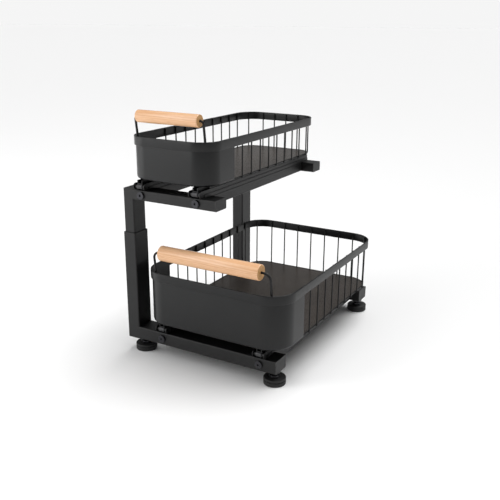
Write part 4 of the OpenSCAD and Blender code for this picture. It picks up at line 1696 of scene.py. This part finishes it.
@dataclass(frozen=True)
class Studio:
    """Camera, pale floor and soft light.

    A large overhead light from behind whitens the floor evenly. A box on the left draws the
    soft edge on the panels' left corners, and a tall strip in front draws the soft streak
    along the grips. The room's backdrop is pale at the horizon and dark above, so that level
    faces stay black. Angles are in degrees.
    """

    camera_mm: Triple = (611.573, -1099.183, 566.2)
    yaw: float = 29.597
    pitch: float = 17.943
    roll: float = 0.342
    focal_px: float = 705.26
    frame_px: float = 500.0
    sensor_mm: float = 36.0
    far_end: float = 200.0
    floor_hex: str = "#f2f2f2"
    floor_roughness: float = 0.95
    floor_reach: float = 80.0
    overhead_strength: float = 2.8
    overhead_spread: float = 55.0
    overhead_from: Triple = (0.2, 0.34, 1.0)
    backdrop_low: float = 0.915
    backdrop_top: float = 0.22
    backdrop_fade: Pair = (0.035, 0.16)
    boxes: tuple[SoftBox, ...] = (
        SoftBox("left_front_box", (-1.35, -0.9, 0.5), (0.0, 0.0, 0.2), 0.9, 0.9, 4.5),
        SoftBox("front_strip", (-1.2, -1.65, 1.45), (0.0, -0.2, 0.3), 0.6, 2.8, 22.0, 26.0),
    )

    def camera(self) -> None:
        """Places the camera."""
        data = bpy.data.cameras.new("camera")
        data.sensor_fit = "HORIZONTAL"
        data.sensor_width = self.sensor_mm
        data.lens = self.focal_px / self.frame_px * self.sensor_mm
        data.clip_end = self.far_end
        camera = bpy.data.objects.new("camera", data)
        turn = Euler((math.radians(90 - self.pitch), 0.0, math.radians(self.yaw))).to_matrix()
        turn = turn @ Euler((0.0, 0.0, math.radians(self.roll))).to_matrix()
        camera.matrix_world = turn.to_4x4()
        camera.location = [c * MM for c in self.camera_mm]
        bpy.context.scene.collection.objects.link(camera)
        bpy.context.scene.camera = camera

    def floor(self) -> None:
        """Lays the pale floor."""
        mesh = bpy.data.meshes.new("studio_floor")
        far = self.floor_reach
        corners = [(-far, -far, 0), (far, -far, 0), (far, far, 0), (-far, far, 0)]
        mesh.from_pydata(corners, [], [(0, 1, 2, 3)])
        floor = bpy.data.objects.new("studio_floor", mesh)
        bpy.context.scene.collection.objects.link(floor)
        material, shader = start_material("matt_white_board")
        shader.inputs["Base Color"].default_value = linear(self.floor_hex)
        shader.inputs["Roughness"].default_value = self.floor_roughness
        mesh.materials.append(material)

    def hang(self, data: bpy.types.Light, at: Triple, towards: Triple, roll: float = 0.0) -> None:
        """Hangs a light so that it looks at a point.

        Args:
            data: the light.
            at: where it hangs, in metres.
            towards: what it looks at, in metres.
            roll: its turn about its own axis, in degrees.
        """
        lamp = bpy.data.objects.new(data.name, data)
        lamp.location = at
        level = (Vector(towards) - Vector(at)).to_track_quat("-Z", "Y").to_matrix()
        rolled = level @ Euler((0.0, 0.0, math.radians(roll))).to_matrix()
        lamp.rotation_euler = rolled.to_euler()
        bpy.context.scene.collection.objects.link(lamp)

    def lights(self) -> None:
        """Hangs the lights."""
        for box in self.boxes:
            data = bpy.data.lights.new(box.name, "AREA")
            data.shape = "RECTANGLE"
            data.size, data.size_y = box.wide, box.tall
            data.energy = box.watts
            self.hang(data, box.at, box.towards, box.roll)
        overhead = bpy.data.lights.new("overhead_light", "SUN")
        overhead.angle = math.radians(self.overhead_spread)
        overhead.energy = self.overhead_strength
        self.hang(overhead, self.overhead_from, (0.0, 0.0, 0.0))

    def backdrop(self) -> None:
        """Paints the room that the piece reflects, pale low down and dark above."""
        world = bpy.data.worlds.new("studio_room")
        world.use_nodes = True
        tree = world.node_tree
        tree.nodes.clear()
        way = add_node(tree, "ShaderNodeTexCoord").outputs["Generated"]
        height = add_node(tree, "ShaderNodeSeparateXYZ", links={0: way}).outputs["Z"]
        strength = add_node(
            tree,
            "ShaderNodeMapRange",
            {
                "interpolation_type": "SMOOTHSTEP",
                "From Min": self.backdrop_fade[0],
                "From Max": self.backdrop_fade[1],
                "To Min": self.backdrop_low,
                "To Max": self.backdrop_top,
            },
            {"Value": height},
        )
        room = add_node(
            tree,
            "ShaderNodeBackground",
            {"Color": linear("#ffffff")},
            {"Strength": strength.outputs[0]},
        )
        add_node(tree, "ShaderNodeOutputWorld", links={"Surface": room.outputs[0]})
        bpy.context.scene.world = world
        bpy.context.scene.view_settings.view_transform = "Standard"

    def build(self) -> None:
        """Sets the whole studio up."""
        self.camera()
        self.floor()
        self.lights()
        self.backdrop()


def main() -> None:
    """Builds the classes in order."""
    logging.basicConfig(level=logging.INFO, format="%(name)s: %(message)s")
    Studio().build()
    materials = {coat: finish.material() for coat, finish in FINISHES.items()}
    baskets = (
        Basket(
            Tier.LOWER,
            corner_mm=45.3,
            first_wire_mm=106.0,
            back_wires=7,
            back_pitch_mm=30.9,
            bend_beside_grip_mm=12.0,
        ),
        Basket(
            Tier.UPPER,
            corner_mm=38.5,
            first_wire_mm=108.5,
            back_wires=4,
            back_pitch_mm=26.3,
            bend_beside_grip_mm=5.8,
        ),
    )
    for basket in baskets:
        basket.build(materials)
    for tier in Tier:
        TurnedGrip(tier).build()
        FrontRollers(tier).build(materials)
    corners = [f"{end}_{side}" for end in ("front", "rear") for side in ("left", "right")]
    feet = [LevellingFoot(corner) for corner in corners]
    for foot in feet:
        foot.build(materials)
    beam_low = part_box("lower_front_frame")[0].z
    FootNuts([foot.middle() for foot in feet], beam_low).build(materials)
    Fasteners().build(materials)
    CarriedSolids(frame["record"], frame["nodes"]).dress(materials)


if __name__ == "__main__":
    main()
